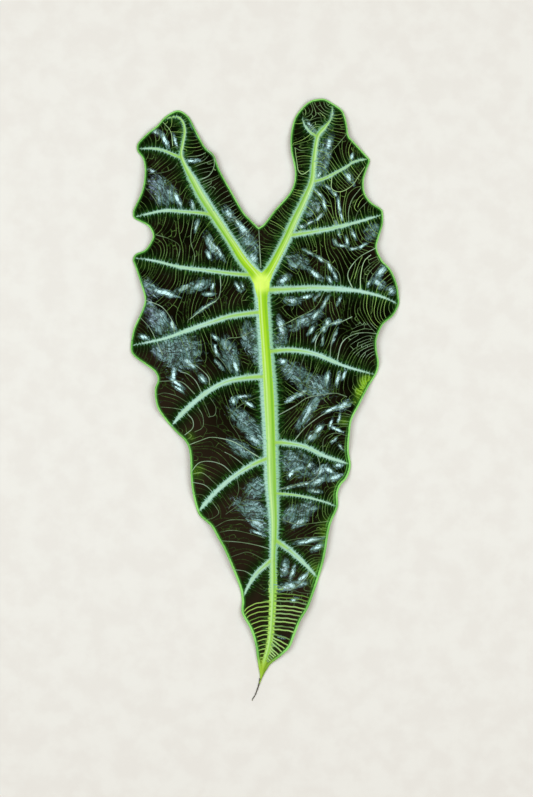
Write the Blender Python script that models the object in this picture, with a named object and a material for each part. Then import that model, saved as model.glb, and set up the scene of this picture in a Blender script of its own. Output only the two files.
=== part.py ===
"""A cut leaf of a dark, arrow-shaped alocasia, lying top side up.

The leaf grew as one piece, so it is one closed solid: a thin blade with a waved edge, pillowed between
its ribs, with ribs that stand out a little above and a lot below, the stronger veins of the net, a
dry thread at the tip, and the round cut face of the stalk below the point where the ribs meet.
+Y points to the two back lobes, +X to the right of the leaf, +Z up. The leaf stands on z = 0 with the
keels of its ribs and the low points of its edge, and the origin is in the middle of its outline.
"""
import math
import random

import bmesh
import bpy
import numpy as np
from mathutils.geometry import delaunay_2d_cdt

MM = 0.001

# The leaf's name, and what the blade is like. All lengths up to the end of the lists are millimetres.
LEAF_NAME = "alocasia_leaf"
BLADE = 0.7          # thickness of the blade between the ribs
ARCH = 0.068         # how high each half arches, as a share of its width from the rib to the edge
RIB_STAND = 0.85     # how high the blade stands over a main rib, as a share of the rib's keel
PILLOW = 2.4         # how far the blade swells between two ribs
WAVE = 2.6           # how far the edge lifts between two rib ends
PILLOW_REACH = 7.5   # distance from a rib over which the blade swells
SWELL = 0.55         # slow unevenness of the pillows
SWELL_LENGTHS = (13.0, 17.0)
SWELL_STARTS = (0.7, 1.9)
KEEL_SHAPE = 3.0     # 2 makes a half round keel, and more makes a squarer one

# The edge, from the notch between the lobes round the left lobe to the tip and its thread.
LEFT_EDGE = [
    (-3.0, 86.0), (-7.5, 90.5), (-11.0, 94.5), (-17.0, 105.0), (-22.5, 115.0), (-25.5, 122.5),
    (-29.5, 126.0), (-33.0, 132.0), (-37.0, 140.0), (-39.0, 142.5), (-42.0, 144.5), (-45.0, 144.5),
    (-50.0, 141.5), (-54.0, 137.0), (-58.5, 133.5), (-63.0, 129.0), (-64.0, 126.5), (-63.5, 124.0),
    (-61.0, 120.5), (-60.0, 115.0), (-60.5, 108.5), (-62.0, 103.0), (-65.5, 95.5), (-66.0, 93.0),
    (-65.0, 90.5), (-58.5, 87.0), (-56.0, 82.5), (-57.0, 79.0), (-60.0, 75.0), (-64.5, 73.0),
    (-66.0, 70.0), (-65.0, 67.0), (-61.5, 56.5), (-60.0, 50.0), (-61.5, 44.5), (-65.0, 37.0),
    (-66.5, 31.5), (-67.0, 25.0), (-65.0, 21.5), (-59.5, 17.5), (-55.0, 14.0), (-53.5, 10.0),
    (-55.0, 5.0), (-54.0, -3.0), (-50.5, -9.0), (-45.0, -15.5), (-39.5, -21.0), (-37.5, -27.0),
    (-37.0, -39.0), (-36.0, -47.0), (-34.0, -55.0), (-32.0, -58.5), (-27.0, -63.0), (-23.5, -69.0),
    (-19.5, -76.5), (-13.0, -92.5), (-11.5, -100.0), (-11.5, -106.5), (-7.5, -114.0), (-5.0, -121.5),
    (-4.0, -128.0), (-3.0, -135.0), (-3.0, -141.5), (-4.7, -145.8), (-6.6, -150.4),
]
# The edge again, from the thread at the tip up the right side and round the right lobe to the notch.
RIGHT_EDGE = [
    (-6.0, -150.6), (-4.0, -146.2), (-2.2, -142.0), (-1.0, -139.5), (1.5, -134.0), (3.5, -131.5),
    (8.0, -128.0), (12.5, -123.5), (15.0, -117.5), (18.0, -110.0), (22.0, -103.0), (27.5, -87.5),
    (30.0, -78.0), (32.0, -66.0), (33.5, -60.5), (36.5, -53.5), (36.5, -47.0), (38.0, -42.5),
    (41.0, -39.0), (43.0, -33.0), (42.0, -25.0), (42.5, -17.0), (43.5, -10.0), (47.5, -2.0),
    (51.5, 6.0), (56.0, 13.5), (57.0, 19.0), (56.0, 25.0), (56.0, 30.5), (59.0, 37.5),
    (64.0, 42.0), (67.0, 47.5), (67.0, 52.0), (66.0, 58.0), (63.0, 65.0), (58.5, 70.0),
    (56.0, 76.0), (57.0, 81.0), (59.0, 88.0), (59.0, 94.0), (57.5, 96.0), (53.0, 99.0),
    (50.0, 103.5), (49.5, 109.5), (51.0, 115.0), (52.5, 119.5), (51.0, 122.0), (44.0, 129.5),
    (42.0, 132.0), (41.0, 138.0), (40.0, 142.0), (38.0, 145.5), (31.0, 150.0), (27.5, 150.5),
    (23.0, 149.5), (19.0, 146.5), (15.0, 141.0), (13.0, 133.0), (13.0, 124.5), (15.0, 113.5),
    (13.0, 104.5), (5.0, 95.0), (0.0, 88.5),
]

# Each main rib: where it runs, and its half width, keel below the blade and crown above, at both ends.
MAIN_RIBS = [
    ([(-1.5, 58.5), (-0.8, 45.0), (0.2, 30.0), (1.7, 8.0), (2.8, -15.0), (3.6, -42.0), (4.6, -62.0),
      (4.1, -80.0), (4.0, -100.0), (2.6, -120.0), (-0.2, -131.0), (-2.6, -141.5), (-4.5, -146.0),
      (-6.2, -150.2)],
     (3.4, 0.35), (3.6, 0.1), (1.2, 0.1)),
    ([(-1.5, 58.5), (-6.0, 64.0), (-11.3, 70.5), (-17.0, 79.5), (-29.8, 99.0), (-35.5, 109.0),
      (-41.5, 121.0), (-41.0, 128.0), (-40.0, 134.0), (-41.0, 139.0), (-44.0, 141.5), (-49.5, 140.8)],
     (3.0, 0.5), (3.4, 0.3), (1.1, 0.3)),
    ([(-1.5, 58.5), (3.5, 66.5), (10.5, 80.0), (15.0, 90.0), (19.8, 100.0), (23.6, 109.5),
      (24.6, 120.0), (26.4, 131.5), (29.8, 136.0), (33.0, 140.5), (33.9, 146.5)],
     (3.0, 0.5), (3.4, 0.3), (1.1, 0.3)),
]
SIDE_RIB_HALF_WIDTH = (1.8, 0.45)
SIDE_RIB_KEEL = (1.9, 0.3)
SIDE_RIB_CROWN = (0.95, 0.35)
SIDE_RIBS = [
    [(-41.5, 121.0), (-45.0, 122.3), (-50.0, 124.4), (-55.0, 125.6), (-62.5, 125.6)],
    [(-25.5, 92.0), (-30.0, 93.2), (-40.0, 94.0), (-50.0, 94.6), (-60.0, 92.6), (-64.8, 91.5)],
    [(-7.0, 62.5), (-15.0, 63.0), (-30.0, 64.8), (-42.5, 66.4), (-55.0, 69.5), (-64.8, 71.0)],
    [(-1.0, 44.0), (-10.0, 42.9), (-20.0, 41.0), (-40.0, 34.2), (-50.0, 30.7), (-66.0, 27.3)],
    [(1.0, 11.8), (-10.0, 11.0), (-20.0, 8.8), (-30.0, 3.1), (-40.0, -5.4), (-46.0, -12.2)],
    [(3.0, -28.5), (-5.0, -31.8), (-15.0, -37.8), (-25.0, -46.4), (-33.2, -55.8)],
    [(4.5, -79.0), (-4.0, -86.5), (-8.5, -93.5), (-11.0, -99.0)],
    [(26.4, 131.5), (21.5, 135.0), (19.2, 139.0), (18.9, 143.0), (20.0, 146.6)],
    [(23.6, 109.0), (30.0, 110.8), (40.0, 116.0), (45.0, 119.2), (51.6, 120.5)],
    [(11.0, 82.0), (20.0, 83.3), (30.0, 85.0), (40.0, 87.2), (50.0, 90.0), (58.4, 92.6)],
    [(-1.5, 54.8), (10.0, 55.2), (25.0, 55.9), (40.0, 55.2), (50.0, 53.8), (60.0, 51.0), (66.5, 48.0)],
    [(0.5, 24.0), (12.5, 25.0), (25.0, 23.0), (40.0, 16.9), (55.6, 12.5)],
    [(3.0, -21.3), (10.0, -21.4), (20.0, -23.3), (30.0, -28.0), (42.2, -32.0)],
    [(4.0, -46.5), (15.5, -47.5), (27.5, -50.2), (36.2, -53.2)],
    [(4.5, -69.5), (13.0, -75.5), (21.0, -83.0), (27.0, -89.5)],
]
# The stronger veins of the net between the ribs stand up a little above the blade.
VEIN_HALF_WIDTH = (0.8, 0.6)
VEIN_KEEL = (0.25, 0.1)
VEIN_CROWN = (0.6, 0.45)
VEINS = [
    [(-2.0, 62.0), (-2.5, 75.0), (-3.0, 85.0)],
    [(-32.0, 109.0), (-27.5, 112.0), (-25.0, 117.0), (-28.5, 125.0)],
    [(-47.0, 124.0), (-45.5, 131.0), (-48.5, 136.0)],
    [(-36.5, 108.0), (-46.0, 109.0), (-53.0, 103.0), (-54.0, 95.5)],
    [(-21.0, 84.0), (-28.0, 77.0), (-35.0, 66.5)],
    [(-44.0, 67.5), (-43.5, 76.5), (-49.0, 81.0), (-55.5, 82.0)],
    [(-22.0, 62.5), (-22.0, 56.0), (-24.5, 49.3), (-37.2, 40.4)],
    [(-45.1, 33.5), (-46.0, 39.0), (-51.2, 46.3), (-60.0, 50.0)],
    [(-51.0, 22.5), (-54.0, 29.2), (-57.5, 36.0), (-62.5, 41.5)],
    [(-4.0, 33.0), (-14.0, 29.0), (-22.0, 20.0), (-17.5, 11.0)],
    [(-26.5, 7.0), (-28.0, 11.5), (-34.5, 16.2), (-44.0, 17.0), (-54.0, 14.5)],
    [(-35.0, 1.5), (-37.5, 5.5), (-43.0, 9.0), (-53.0, 9.0)],
    [(-1.0, 2.0), (-10.0, 0.0), (-24.0, -2.0), (-31.0, 1.5)],
    [(-1.5, -29.5), (-12.5, -22.5), (-22.5, -18.7), (-32.5, -20.0), (-38.0, -22.0)],
    [(-10.0, -33.5), (-16.5, -27.5), (-27.0, -25.0), (-36.5, -28.0)],
    [(-16.5, -38.5), (-21.5, -32.5), (-29.5, -30.5), (-36.5, -34.5)],
    [(-24.5, -45.5), (-28.0, -42.2), (-36.0, -40.5)],
    [(2.5, -52.0), (-10.0, -50.0), (-16.0, -55.0), (-24.0, -61.5)],
    [(3.0, -74.6), (-8.7, -71.3), (-21.5, -70.3)],
    [(-6.0, -88.0), (-9.4, -85.3), (-15.0, -85.5)],
    [(24.5, 119.0), (33.0, 124.0), (38.5, 130.0), (41.0, 133.0)],
    [(24.0, 106.5), (32.7, 105.1), (37.3, 96.9), (38.3, 87.5)],
    [(41.0, 117.0), (47.0, 113.0), (50.0, 110.0)],
    [(33.5, 85.5), (35.5, 78.0), (43.3, 75.4), (50.5, 77.5), (52.5, 83.0), (52.0, 89.5)],
    [(12.5, 78.0), (23.5, 72.3), (31.2, 67.0), (38.5, 57.0)],
    [(43.8, 55.5), (41.4, 63.0), (46.7, 70.8), (55.5, 76.0)],
    [(47.7, 55.0), (48.4, 65.5), (53.0, 71.5)],
    [(4.5, 35.0), (16.0, 41.0), (30.0, 47.0), (36.0, 54.5)],
    [(25.0, 24.0), (26.4, 30.7), (35.5, 37.9), (47.0, 39.5), (59.5, 37.5)],
    [(34.6, 20.0), (37.0, 25.3), (43.8, 32.3), (55.0, 33.1)],
    [(20.0, 23.0), (17.5, 14.0), (20.0, 7.0), (31.0, 5.0), (37.5, 9.5), (37.5, 17.0)],
    [(6.5, -7.7), (17.8, -1.7), (27.2, 2.1), (47.0, 0.5)],
    [(14.5, -21.0), (22.5, -12.2), (31.4, -6.8), (44.5, -5.0)],
    [(25.5, -27.0), (26.5, -18.0), (34.5, -14.5), (41.5, -14.0)],
    [(6.0, -45.0), (15.9, -42.2), (24.0, -40.3), (28.0, -36.0), (26.0, -27.0)],
    [(6.5, -59.0), (16.0, -62.0), (32.0, -60.0)],
    [(11.0, -75.0), (18.0, -71.5), (30.0, -71.0)],
    [(4.5, -92.0), (13.0, -94.5), (20.5, -89.0), (22.0, -85.0)],
]
# Towards the tip the veins are level rungs from the midrib to the edge: where they start, and their run.
RUNG_FIRST = -99.0
RUNG_LAST = -128.0
RUNG_COUNT = 9
RUNG_LEVEL_SHARE = 0.6   # share of a rung that runs nearly level before it bends down to the edge
RUNG_DROP = 0.3          # how far it bends down, as a share of its length
RUNG_EARLY_DROP = 0.2    # share of that drop over the nearly level run
RUNG_REACH = 0.86        # how far it goes towards the edge

# The stalk was cut off flush: an oval boss below the point where the ribs meet, cut flat at the floor.
STALK_CENTRE = (-1.5, 61.0)
STALK_RADII = (4.6, 5.4)
STALK_FLAT_SHARE = 0.72
STALK_DEPTH = 5.0
STALK_POINTS = 14

# How closely the surface is divided, and how near to each other two of its points may be.
PATH_STEP = 0.5
EDGE_STEP = 3.0
RIB_STEP = 3.3
VEIN_STEP = 3.6
FILL_STEP = 4.0
FILL_JITTER = 0.5
NEAR_GAP = 1.0
SIDE_GAP = 0.8
VEIN_GAP = 0.5
FILL_GAP = 2.5
RIB_ROW = (0.0, -1.0, 1.0, -0.5, 0.5)
SIDE_ROW = (0.0, -1.0, 1.0)
SAME_SPOT = 0.00001
SHARP_DEGREES = 50.0
SEED = 7

BLADE_COLOUR = (0.012, 0.024, 0.008, 1.0)
BLADE_ROUGHNESS = 0.32


def clear_scene():
    """Empty the scene of whatever it holds."""
    for thing in list(bpy.data.objects):
        bpy.data.objects.remove(thing, do_unlink=True)


def smooth_line(points, step=PATH_STEP):
    """A Catmull-Rom curve through the points, sampled about every step along it."""
    spots = np.array(points, dtype=float)
    ends = np.vstack([2 * spots[0] - spots[1], spots, 2 * spots[-1] - spots[-2]])
    run = []
    for before, start, end, after in zip(ends, ends[1:], ends[2:], ends[3:]):
        count = max(1, round(math.dist(start, end) / step))
        share = (np.arange(count) / count)[:, None]
        run.append(0.5 * (2 * start + (end - before) * share
                          + (2 * before - 5 * start + 4 * end - after) * share ** 2
                          + (3 * start - before - 3 * end + after) * share ** 3))
    return np.vstack(run + [spots[-1:]])


def nearest_on(line, spots):
    """For each spot, its distance to the line and how far along the line, from 0 to 1, it is nearest."""
    start = line[:-1]
    leg = line[1:] - start
    leg_square = (leg ** 2).sum(1)
    run = np.concatenate([[0.0], np.cumsum(np.sqrt(leg_square))])
    offset = spots[:, None, :] - start[None]
    share = np.clip((offset * leg).sum(2) / leg_square, 0.0, 1.0)
    distance = np.sqrt(((offset - share[..., None] * leg) ** 2).sum(2))
    best = distance.argmin(1)
    rows = np.arange(len(spots))
    along = run[best] + share[rows, best] * np.sqrt(leg_square[best])
    return distance[rows, best], along / run[-1]


class Rib:
    """A rib or a vein: a smooth line with a half width, a keel and a crown that taper along it."""

    def __init__(self, points, half_width, keel, crown):
        self.line = smooth_line(points)
        self.half_width = half_width
        self.keel = keel
        self.crown = crown

    def at(self, spots):
        """Distance from each spot, and the half width, keel and crown at the nearest place."""
        distance, along = nearest_on(self.line, spots)
        sizes = [first + (last - first) * along for first, last in (self.half_width, self.keel, self.crown)]
        return distance, *sizes

    def rows(self, step, places):
        """Points on the rib and beside it, at the places given in half widths, about every step."""
        legs = np.diff(self.line, axis=0)
        length = np.sqrt((legs ** 2).sum(1)).sum()
        picks = np.linspace(0, len(legs) - 1, max(2, round(length / step))).astype(int)
        shares = picks[:, None] / (len(legs) - 1)
        side = np.stack([-legs[picks, 1], legs[picks, 0]], 1)
        side /= np.sqrt((side ** 2).sum(1))[:, None]
        half = self.half_width[0] + (self.half_width[1] - self.half_width[0]) * shares
        return [self.line[picks] + side * half * place for place in places]


def x_at(points, y):
    """Where a run of points, read from its lower end, first crosses the height y."""
    upward = points if points[0][1] < points[-1][1] else points[::-1]
    for (x_low, y_low), (x_high, y_high) in zip(upward, upward[1:]):
        if y_low <= y <= y_high:
            return x_low + (x_high - x_low) * (y - y_low) / (y_high - y_low)
    return upward[-1][0]


def rungs():
    """The level veins towards the tip, on both sides of the midrib."""
    midrib = MAIN_RIBS[0][0]
    lines = []
    for y in np.linspace(RUNG_FIRST, RUNG_LAST, RUNG_COUNT):
        middle = x_at(midrib, y)
        for edge in (LEFT_EDGE, RIGHT_EDGE):
            reach = RUNG_REACH * (x_at(edge, y) - middle)
            drop = RUNG_DROP * abs(reach)
            bend = (middle + RUNG_LEVEL_SHARE * reach, y - RUNG_EARLY_DROP * drop)
            lines.append([(middle, y), bend, (middle + reach, y - drop)])
    return lines


def edge_line():
    """The closed edge of the leaf, sharp at the notch and at the end of the thread."""
    left = smooth_line(LEFT_EDGE, EDGE_STEP)
    right = smooth_line(RIGHT_EDGE + LEFT_EDGE[:1], EDGE_STEP)
    return np.vstack([left, right[:-1]])


def inside(edge, spots):
    """True for each spot that the closed edge goes round."""
    after = np.roll(edge, -1, axis=0)
    x, y = spots[:, :1], spots[:, 1:]
    spans = (edge[:, 1] > y) != (after[:, 1] > y)
    rise = np.where(after[:, 1] == edge[:, 1], 1.0, after[:, 1] - edge[:, 1])
    crossing = edge[:, 0] + (y - edge[:, 1]) * (after[:, 0] - edge[:, 0]) / rise
    return (spans & (x < crossing)).sum(1) % 2 == 1


def stalk_ring(share):
    """Points on an oval round the cut stalk, at a share of its radii."""
    turns = [2 * math.pi * index / STALK_POINTS for index in range(STALK_POINTS)]
    return np.array([(STALK_CENTRE[0] + share * STALK_RADII[0] * math.cos(turn),
                      STALK_CENTRE[1] + share * STALK_RADII[1] * math.sin(turn)) for turn in turns])


def fill_points(edge, draw):
    """A jittered triangular grid over the whole leaf."""
    low, high = edge.min(0), edge.max(0)
    rows = int((high[1] - low[1]) / (FILL_STEP * math.sqrt(0.75)))
    columns = int((high[0] - low[0]) / FILL_STEP)
    spots = []
    for row in range(rows + 1):
        for column in range(columns + 1):
            x = low[0] + (column + 0.5 * (row % 2)) * FILL_STEP + draw.uniform(-FILL_JITTER, FILL_JITTER)
            y = low[1] + row * FILL_STEP * math.sqrt(0.75) + draw.uniform(-FILL_JITTER, FILL_JITTER)
            spots.append((x, y))
    return np.array(spots)


def scatter(edge, main_ribs, side_ribs, veins):
    """All points of the surface, in order of rank: edge, stalk, ribs, veins, and then the fill."""
    draw = random.Random(SEED)
    kept = [tuple(spot) for spot in edge]

    def add(spots, gap):
        clear = inside(edge, spots) & (nearest_on(np.vstack([edge, edge[:1]]), spots)[0] > NEAR_GAP)
        for spot in spots[clear]:
            if np.min(np.hypot(*(np.array(kept) - spot).T)) > gap:
                kept.append(tuple(spot))

    for share in (1.0, STALK_FLAT_SHARE):
        add(stalk_ring(share), NEAR_GAP)
    for rib in main_ribs:
        for row in rib.rows(RIB_STEP, RIB_ROW):
            add(row, NEAR_GAP)
    for rib in side_ribs:
        for row in rib.rows(RIB_STEP, SIDE_ROW):
            add(row, SIDE_GAP)
    for vein in veins:
        for row in vein.rows(VEIN_STEP, SIDE_ROW):
            add(row, VEIN_GAP)
    add(fill_points(edge, draw), FILL_GAP)
    return kept


def heights(spots, edge, main_ribs, side_ribs, veins):
    """The height of the underside and of the top over each spot."""
    to_edge = nearest_on(np.vstack([edge, edge[:1]]), spots)[0]
    mains = [rib.at(spots) for rib in main_ribs]
    sides = [rib.at(spots) for rib in side_ribs]
    to_main = np.min([found[0] for found in mains], axis=0)
    nearest_main = np.argmin([found[0] for found in mains], axis=0)
    main_keel = np.choose(nearest_main, [found[2] for found in mains])
    to_rib = np.min([found[0] for found in mains + sides], axis=0)

    span = to_main + to_edge
    across = to_main / span
    clear_of_ribs = 1 - np.exp(-(to_rib / PILLOW_REACH) ** 2)
    x, y = spots.T
    swell = SWELL * np.sin(x / SWELL_LENGTHS[0] + SWELL_STARTS[0])
    swell *= np.sin(y / SWELL_LENGTHS[1] + SWELL_STARTS[1])
    pillow = (PILLOW + swell) * (1 - across ** 4) + WAVE * across ** 4
    rise = RIB_STAND * main_keel * (1 - across) ** 3 + ARCH * span * np.sin(math.pi * across)
    rise += pillow * clear_of_ribs

    keel = np.zeros(len(spots))
    crown = np.zeros(len(spots))
    for distance, half, depth, height in mains + sides + [vein.at(spots) for vein in veins]:
        near = np.clip(distance / half, 0.0, 1.0)
        keel = np.maximum(keel, depth * np.sqrt(1 - near ** KEEL_SHAPE))
        crown = np.maximum(crown, height * np.cos(0.5 * math.pi * near) ** 2)
    off_centre = np.hypot((x - STALK_CENTRE[0]) / STALK_RADII[0], (y - STALK_CENTRE[1]) / STALK_RADII[1])
    stalk = np.clip((1 - off_centre) / (1 - STALK_FLAT_SHARE), 0.0, 1.0)
    keel = np.maximum(keel, STALK_DEPTH * stalk)
    return np.maximum(rise - keel, 0.0), rise + BLADE + crown


def leaf_material():
    """The dark, waxy finish of the leaf."""
    material = bpy.data.materials.new("dark_glossy_blade")
    material.use_nodes = True
    shader = material.node_tree.nodes["Principled BSDF"]
    shader.inputs["Base Color"].default_value = BLADE_COLOUR
    shader.inputs["Roughness"].default_value = BLADE_ROUGHNESS
    shader.inputs["Metallic"].default_value = 0.0
    return material


def leaf_mesh():
    """The leaf: a flat sheet, divided into triangles, thickened, and raised to its form."""
    edge = edge_line()
    main_ribs = [Rib(*rib) for rib in MAIN_RIBS]
    side_ribs = [Rib(line, SIDE_RIB_HALF_WIDTH, SIDE_RIB_KEEL, SIDE_RIB_CROWN) for line in SIDE_RIBS]
    veins = [Rib(line, VEIN_HALF_WIDTH, VEIN_KEEL, VEIN_CROWN) for line in VEINS + rungs()]
    spots = scatter(edge, main_ribs, side_ribs, veins)
    edge_loop = list(range(len(edge)))
    flat, _, triangles, *_ = delaunay_2d_cdt(spots, [], [edge_loop], 1, SAME_SPOT)
    flat = np.array([tuple(spot) for spot in flat])
    underside, top = heights(flat, edge, main_ribs, side_ribs, veins)
    middle = (flat.min(0) + flat.max(0)) / 2

    mesh = bmesh.new()
    for x, y in flat - middle:
        mesh.verts.new((x * MM, y * MM, 0.0))
    mesh.verts.ensure_lookup_table()
    for triangle in triangles:
        mesh.faces.new([mesh.verts[index] for index in triangle])
    low = list(mesh.verts)
    raised = bmesh.ops.extrude_face_region(mesh, geom=list(mesh.faces), use_keep_orig=True)
    high = [item for item in raised["geom"] if isinstance(item, bmesh.types.BMVert)]
    place = {(vert.co.x, vert.co.y): index for index, vert in enumerate(low)}
    for vert in high:
        vert.co.z = top[place[vert.co.x, vert.co.y]] * MM
    for vert, height in zip(low, underside):
        vert.co.z = height * MM
    bmesh.ops.triangulate(mesh, faces=mesh.faces)
    bmesh.ops.recalc_face_normals(mesh, faces=mesh.faces)
    result = bpy.data.meshes.new(LEAF_NAME)
    mesh.to_mesh(result)
    mesh.free()
    return result


def main():
    """Build the leaf in its own collection."""
    clear_scene()
    collection = bpy.data.collections.new(LEAF_NAME)
    bpy.context.scene.collection.children.link(collection)
    leaf = bpy.data.objects.new(LEAF_NAME, leaf_mesh())
    leaf.data.materials.append(leaf_material())
    leaf.data.shade_smooth()
    leaf.data.set_sharp_from_angle(angle=math.radians(SHARP_DEGREES))
    collection.objects.link(leaf)


main()
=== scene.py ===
"""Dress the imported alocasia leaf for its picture.

The CAD holds the leaf's outline, ribs and arch as one stiff solid. Here the same form is drawn much finer:
a blade with fringed ribs, quilted between its veins and edged in green, raised threads along the veins of
both faces, the cut face of the stalk, and the dry thread at the tip. Plans and heights are worked out in
millimetres, in the CAD's frame: +Y towards the back lobes, +Z up, and z = 0 where the leaf lies.
"""
from __future__ import annotations

import logging
import math
import random
from dataclasses import dataclass, field
from enum import Enum
from typing import Any, Iterable, Optional, Sequence, Union

import bpy
import numpy as np
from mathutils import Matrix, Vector
from mathutils.geometry import delaunay_2d_cdt
from mathutils.kdtree import KDTree


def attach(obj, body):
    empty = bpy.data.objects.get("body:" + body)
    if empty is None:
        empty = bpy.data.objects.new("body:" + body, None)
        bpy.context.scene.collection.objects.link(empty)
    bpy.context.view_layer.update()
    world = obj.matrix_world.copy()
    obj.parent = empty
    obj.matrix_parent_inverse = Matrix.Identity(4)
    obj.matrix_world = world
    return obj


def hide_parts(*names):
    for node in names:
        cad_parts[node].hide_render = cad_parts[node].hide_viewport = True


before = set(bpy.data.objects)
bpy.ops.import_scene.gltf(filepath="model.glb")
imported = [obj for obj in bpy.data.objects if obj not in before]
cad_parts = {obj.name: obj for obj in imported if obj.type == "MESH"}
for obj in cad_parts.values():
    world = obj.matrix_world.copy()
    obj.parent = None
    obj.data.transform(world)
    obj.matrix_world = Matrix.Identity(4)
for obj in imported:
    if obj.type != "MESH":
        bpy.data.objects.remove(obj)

LOG = logging.getLogger("alocasia_leaf")
NODE = "alocasia_leaf"
MM = 0.001
SEED = 11

Pair = tuple[float, float]
Path = Sequence[Pair]
Colour = tuple[float, float, float]

# The edge, from the notch between the lobes round the left lobe to the tip and its thread.
LEFT_EDGE: Path = (
    (-3, 86), (-7.5, 90.5), (-11, 94.5), (-17, 105), (-22.5, 115), (-25.5, 122.5), (-29.5, 126),
    (-33, 132), (-37, 140), (-39, 142.5), (-42, 144.5), (-45, 144.5), (-50, 141.5), (-54, 137),
    (-58.5, 133.5), (-63, 129), (-64, 126.5), (-63.5, 124), (-61, 120.5), (-60, 115), (-60.5, 108.5),
    (-62, 103), (-65.5, 95.5), (-66, 93), (-65, 90.5), (-58.5, 87), (-56, 82.5), (-57, 79), (-60, 75),
    (-64.5, 73), (-66, 70), (-65, 67), (-61.5, 56.5), (-60, 50), (-61.5, 44.5), (-65, 37), (-66.5, 31.5),
    (-67, 25), (-65, 21.5), (-59.5, 17.5), (-55, 14), (-53.5, 10), (-55, 5), (-54, -3), (-50.5, -9),
    (-45, -15.5), (-39.5, -21), (-37.5, -27), (-37, -39), (-36, -47), (-34, -55), (-32, -58.5), (-27, -63),
    (-23.5, -69), (-19.5, -76.5), (-13, -92.5), (-11.5, -100), (-11.5, -106.5), (-7.5, -114), (-5, -121.5),
    (-4, -128), (-3, -135), (-3, -141.5), (-4.7, -145.8), (-6.6, -150.4),
)
# The edge again, from the thread at the tip up the right side and round the right lobe to the notch.
RIGHT_EDGE: Path = (
    (-6, -150.6), (-4, -146.2), (-2.2, -142), (-1, -139.5), (1.5, -134), (3.5, -131.5), (8, -128),
    (12.5, -123.5), (15, -117.5), (18, -110), (22, -103), (27.5, -87.5), (30, -78), (32, -66),
    (33.5, -60.5), (36.5, -53.5), (36.5, -47), (38, -42.5), (41, -39), (43, -33), (42, -25), (42.5, -17),
    (43.5, -10), (47.5, -2), (51.5, 6), (56, 13.5), (57, 19), (56, 25), (56, 30.5), (59, 37.5), (64, 42),
    (67, 47.5), (67, 52), (66, 58), (63, 65), (58.5, 70), (56, 76), (57, 81), (59, 88), (59, 94),
    (57.5, 96), (53, 99), (50, 103.5), (49.5, 109.5), (51, 115), (52.5, 119.5), (51, 122), (44, 129.5),
    (42, 132), (41, 138), (40, 142), (38, 145.5), (31, 150), (27.5, 150.5), (23, 149.5), (19, 146.5),
    (15, 141), (13, 133), (13, 124.5), (15, 113.5), (13, 104.5), (5, 95), (0, 88.5),
)


@dataclass(frozen=True)
class Rib:
    """A rib: where it runs, its coloured band, and the relief that it makes.

    Attributes:
        points: places that its centre line passes through, from where it starts to its end.
        band: half width of its pale band at shares of its length, as (share, half width) pairs.
        half_width: half width of its relief at its start and its end.
        keel: how far it hangs below the blade at its start and its end.
        crown: how far it stands above the blade at its start and its end.
    """

    points: Path
    band: Sequence[Pair]
    half_width: Pair
    keel: Pair
    crown: Pair

    def band_at(self, share: np.ndarray) -> np.ndarray:
        """Half width of the pale band at shares of the rib's length."""
        stops, halves = zip(*self.band)
        return np.interp(share, stops, halves)


def side_rib(points: Path, band_start: float, band_end: float) -> Rib:
    """A side rib, whose relief is the same on all of them.

    Args:
        points: its centre line, from the rib that it leaves to the edge.
        band_start: half width of its pale band where it starts.
        band_end: half width of its pale band near the edge.

    Returns:
        The rib.
    """
    band = ((0.0, band_start), (0.55, 0.8 * band_start), (0.9, band_end), (1.0, 0.4 * band_end))
    return Rib(points, band, (1.8, 0.45), (1.9, 0.3), (0.95, 0.35))


MIDRIB = Rib(
    ((-1.5, 58.5), (-0.8, 45), (0.2, 30), (1.7, 8), (2.8, -15), (3.6, -42), (4.6, -62),
     (4.1, -80), (4, -100), (2.6, -120), (-0.2, -131), (-2.6, -141.5), (-4.5, -146),
     (-6.2, -150.2)),
    ((0, 4.4), (0.14, 4), (0.28, 4.7), (0.375, 4.2), (0.47, 4.1), (0.57, 2.95), (0.66, 2),
     (0.76, 1.95), (0.81, 1.75), (0.86, 1.65), (0.9, 1.3), (0.955, 0.8), (1, 0.3)),
    (3.4, 0.35), (3.6, 0.1), (1.2, 0.1))
LEFT_LOBE_RIB = Rib(
    ((-1.5, 58.5), (-6, 64), (-11.3, 70.5), (-17, 79.5), (-29.8, 99), (-35.5, 109),
     (-41.5, 121), (-41, 128), (-40, 134), (-41, 139), (-44, 141.5), (-49.5, 140.8)),
    ((0, 3.6), (0.155, 3.5), (0.27, 2.9), (0.39, 3), (0.51, 3), (0.61, 2.6), (0.68, 1.6),
     (0.76, 1.1), (0.85, 1), (1, 0.5)),
    (3, 0.5), (3.4, 0.3), (1.1, 0.3))
RIGHT_LOBE_RIB = Rib(
    ((-1.5, 58.5), (3.5, 66.5), (10.5, 80), (15, 90), (19.8, 100), (23.6, 109.5),
     (24.6, 120), (26.4, 131.5), (29.8, 136), (33, 140.5), (33.9, 146.5)),
    ((0, 3.4), (0.2, 3), (0.37, 2.8), (0.49, 2.4), (0.6, 2), (0.7, 1.7), (0.81, 1.5),
     (0.87, 1.5), (0.93, 0.5), (1, 0.3)),
    (3, 0.5), (3.4, 0.3), (1.1, 0.3))
MAIN_RIBS = (MIDRIB, LEFT_LOBE_RIB, RIGHT_LOBE_RIB)
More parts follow.
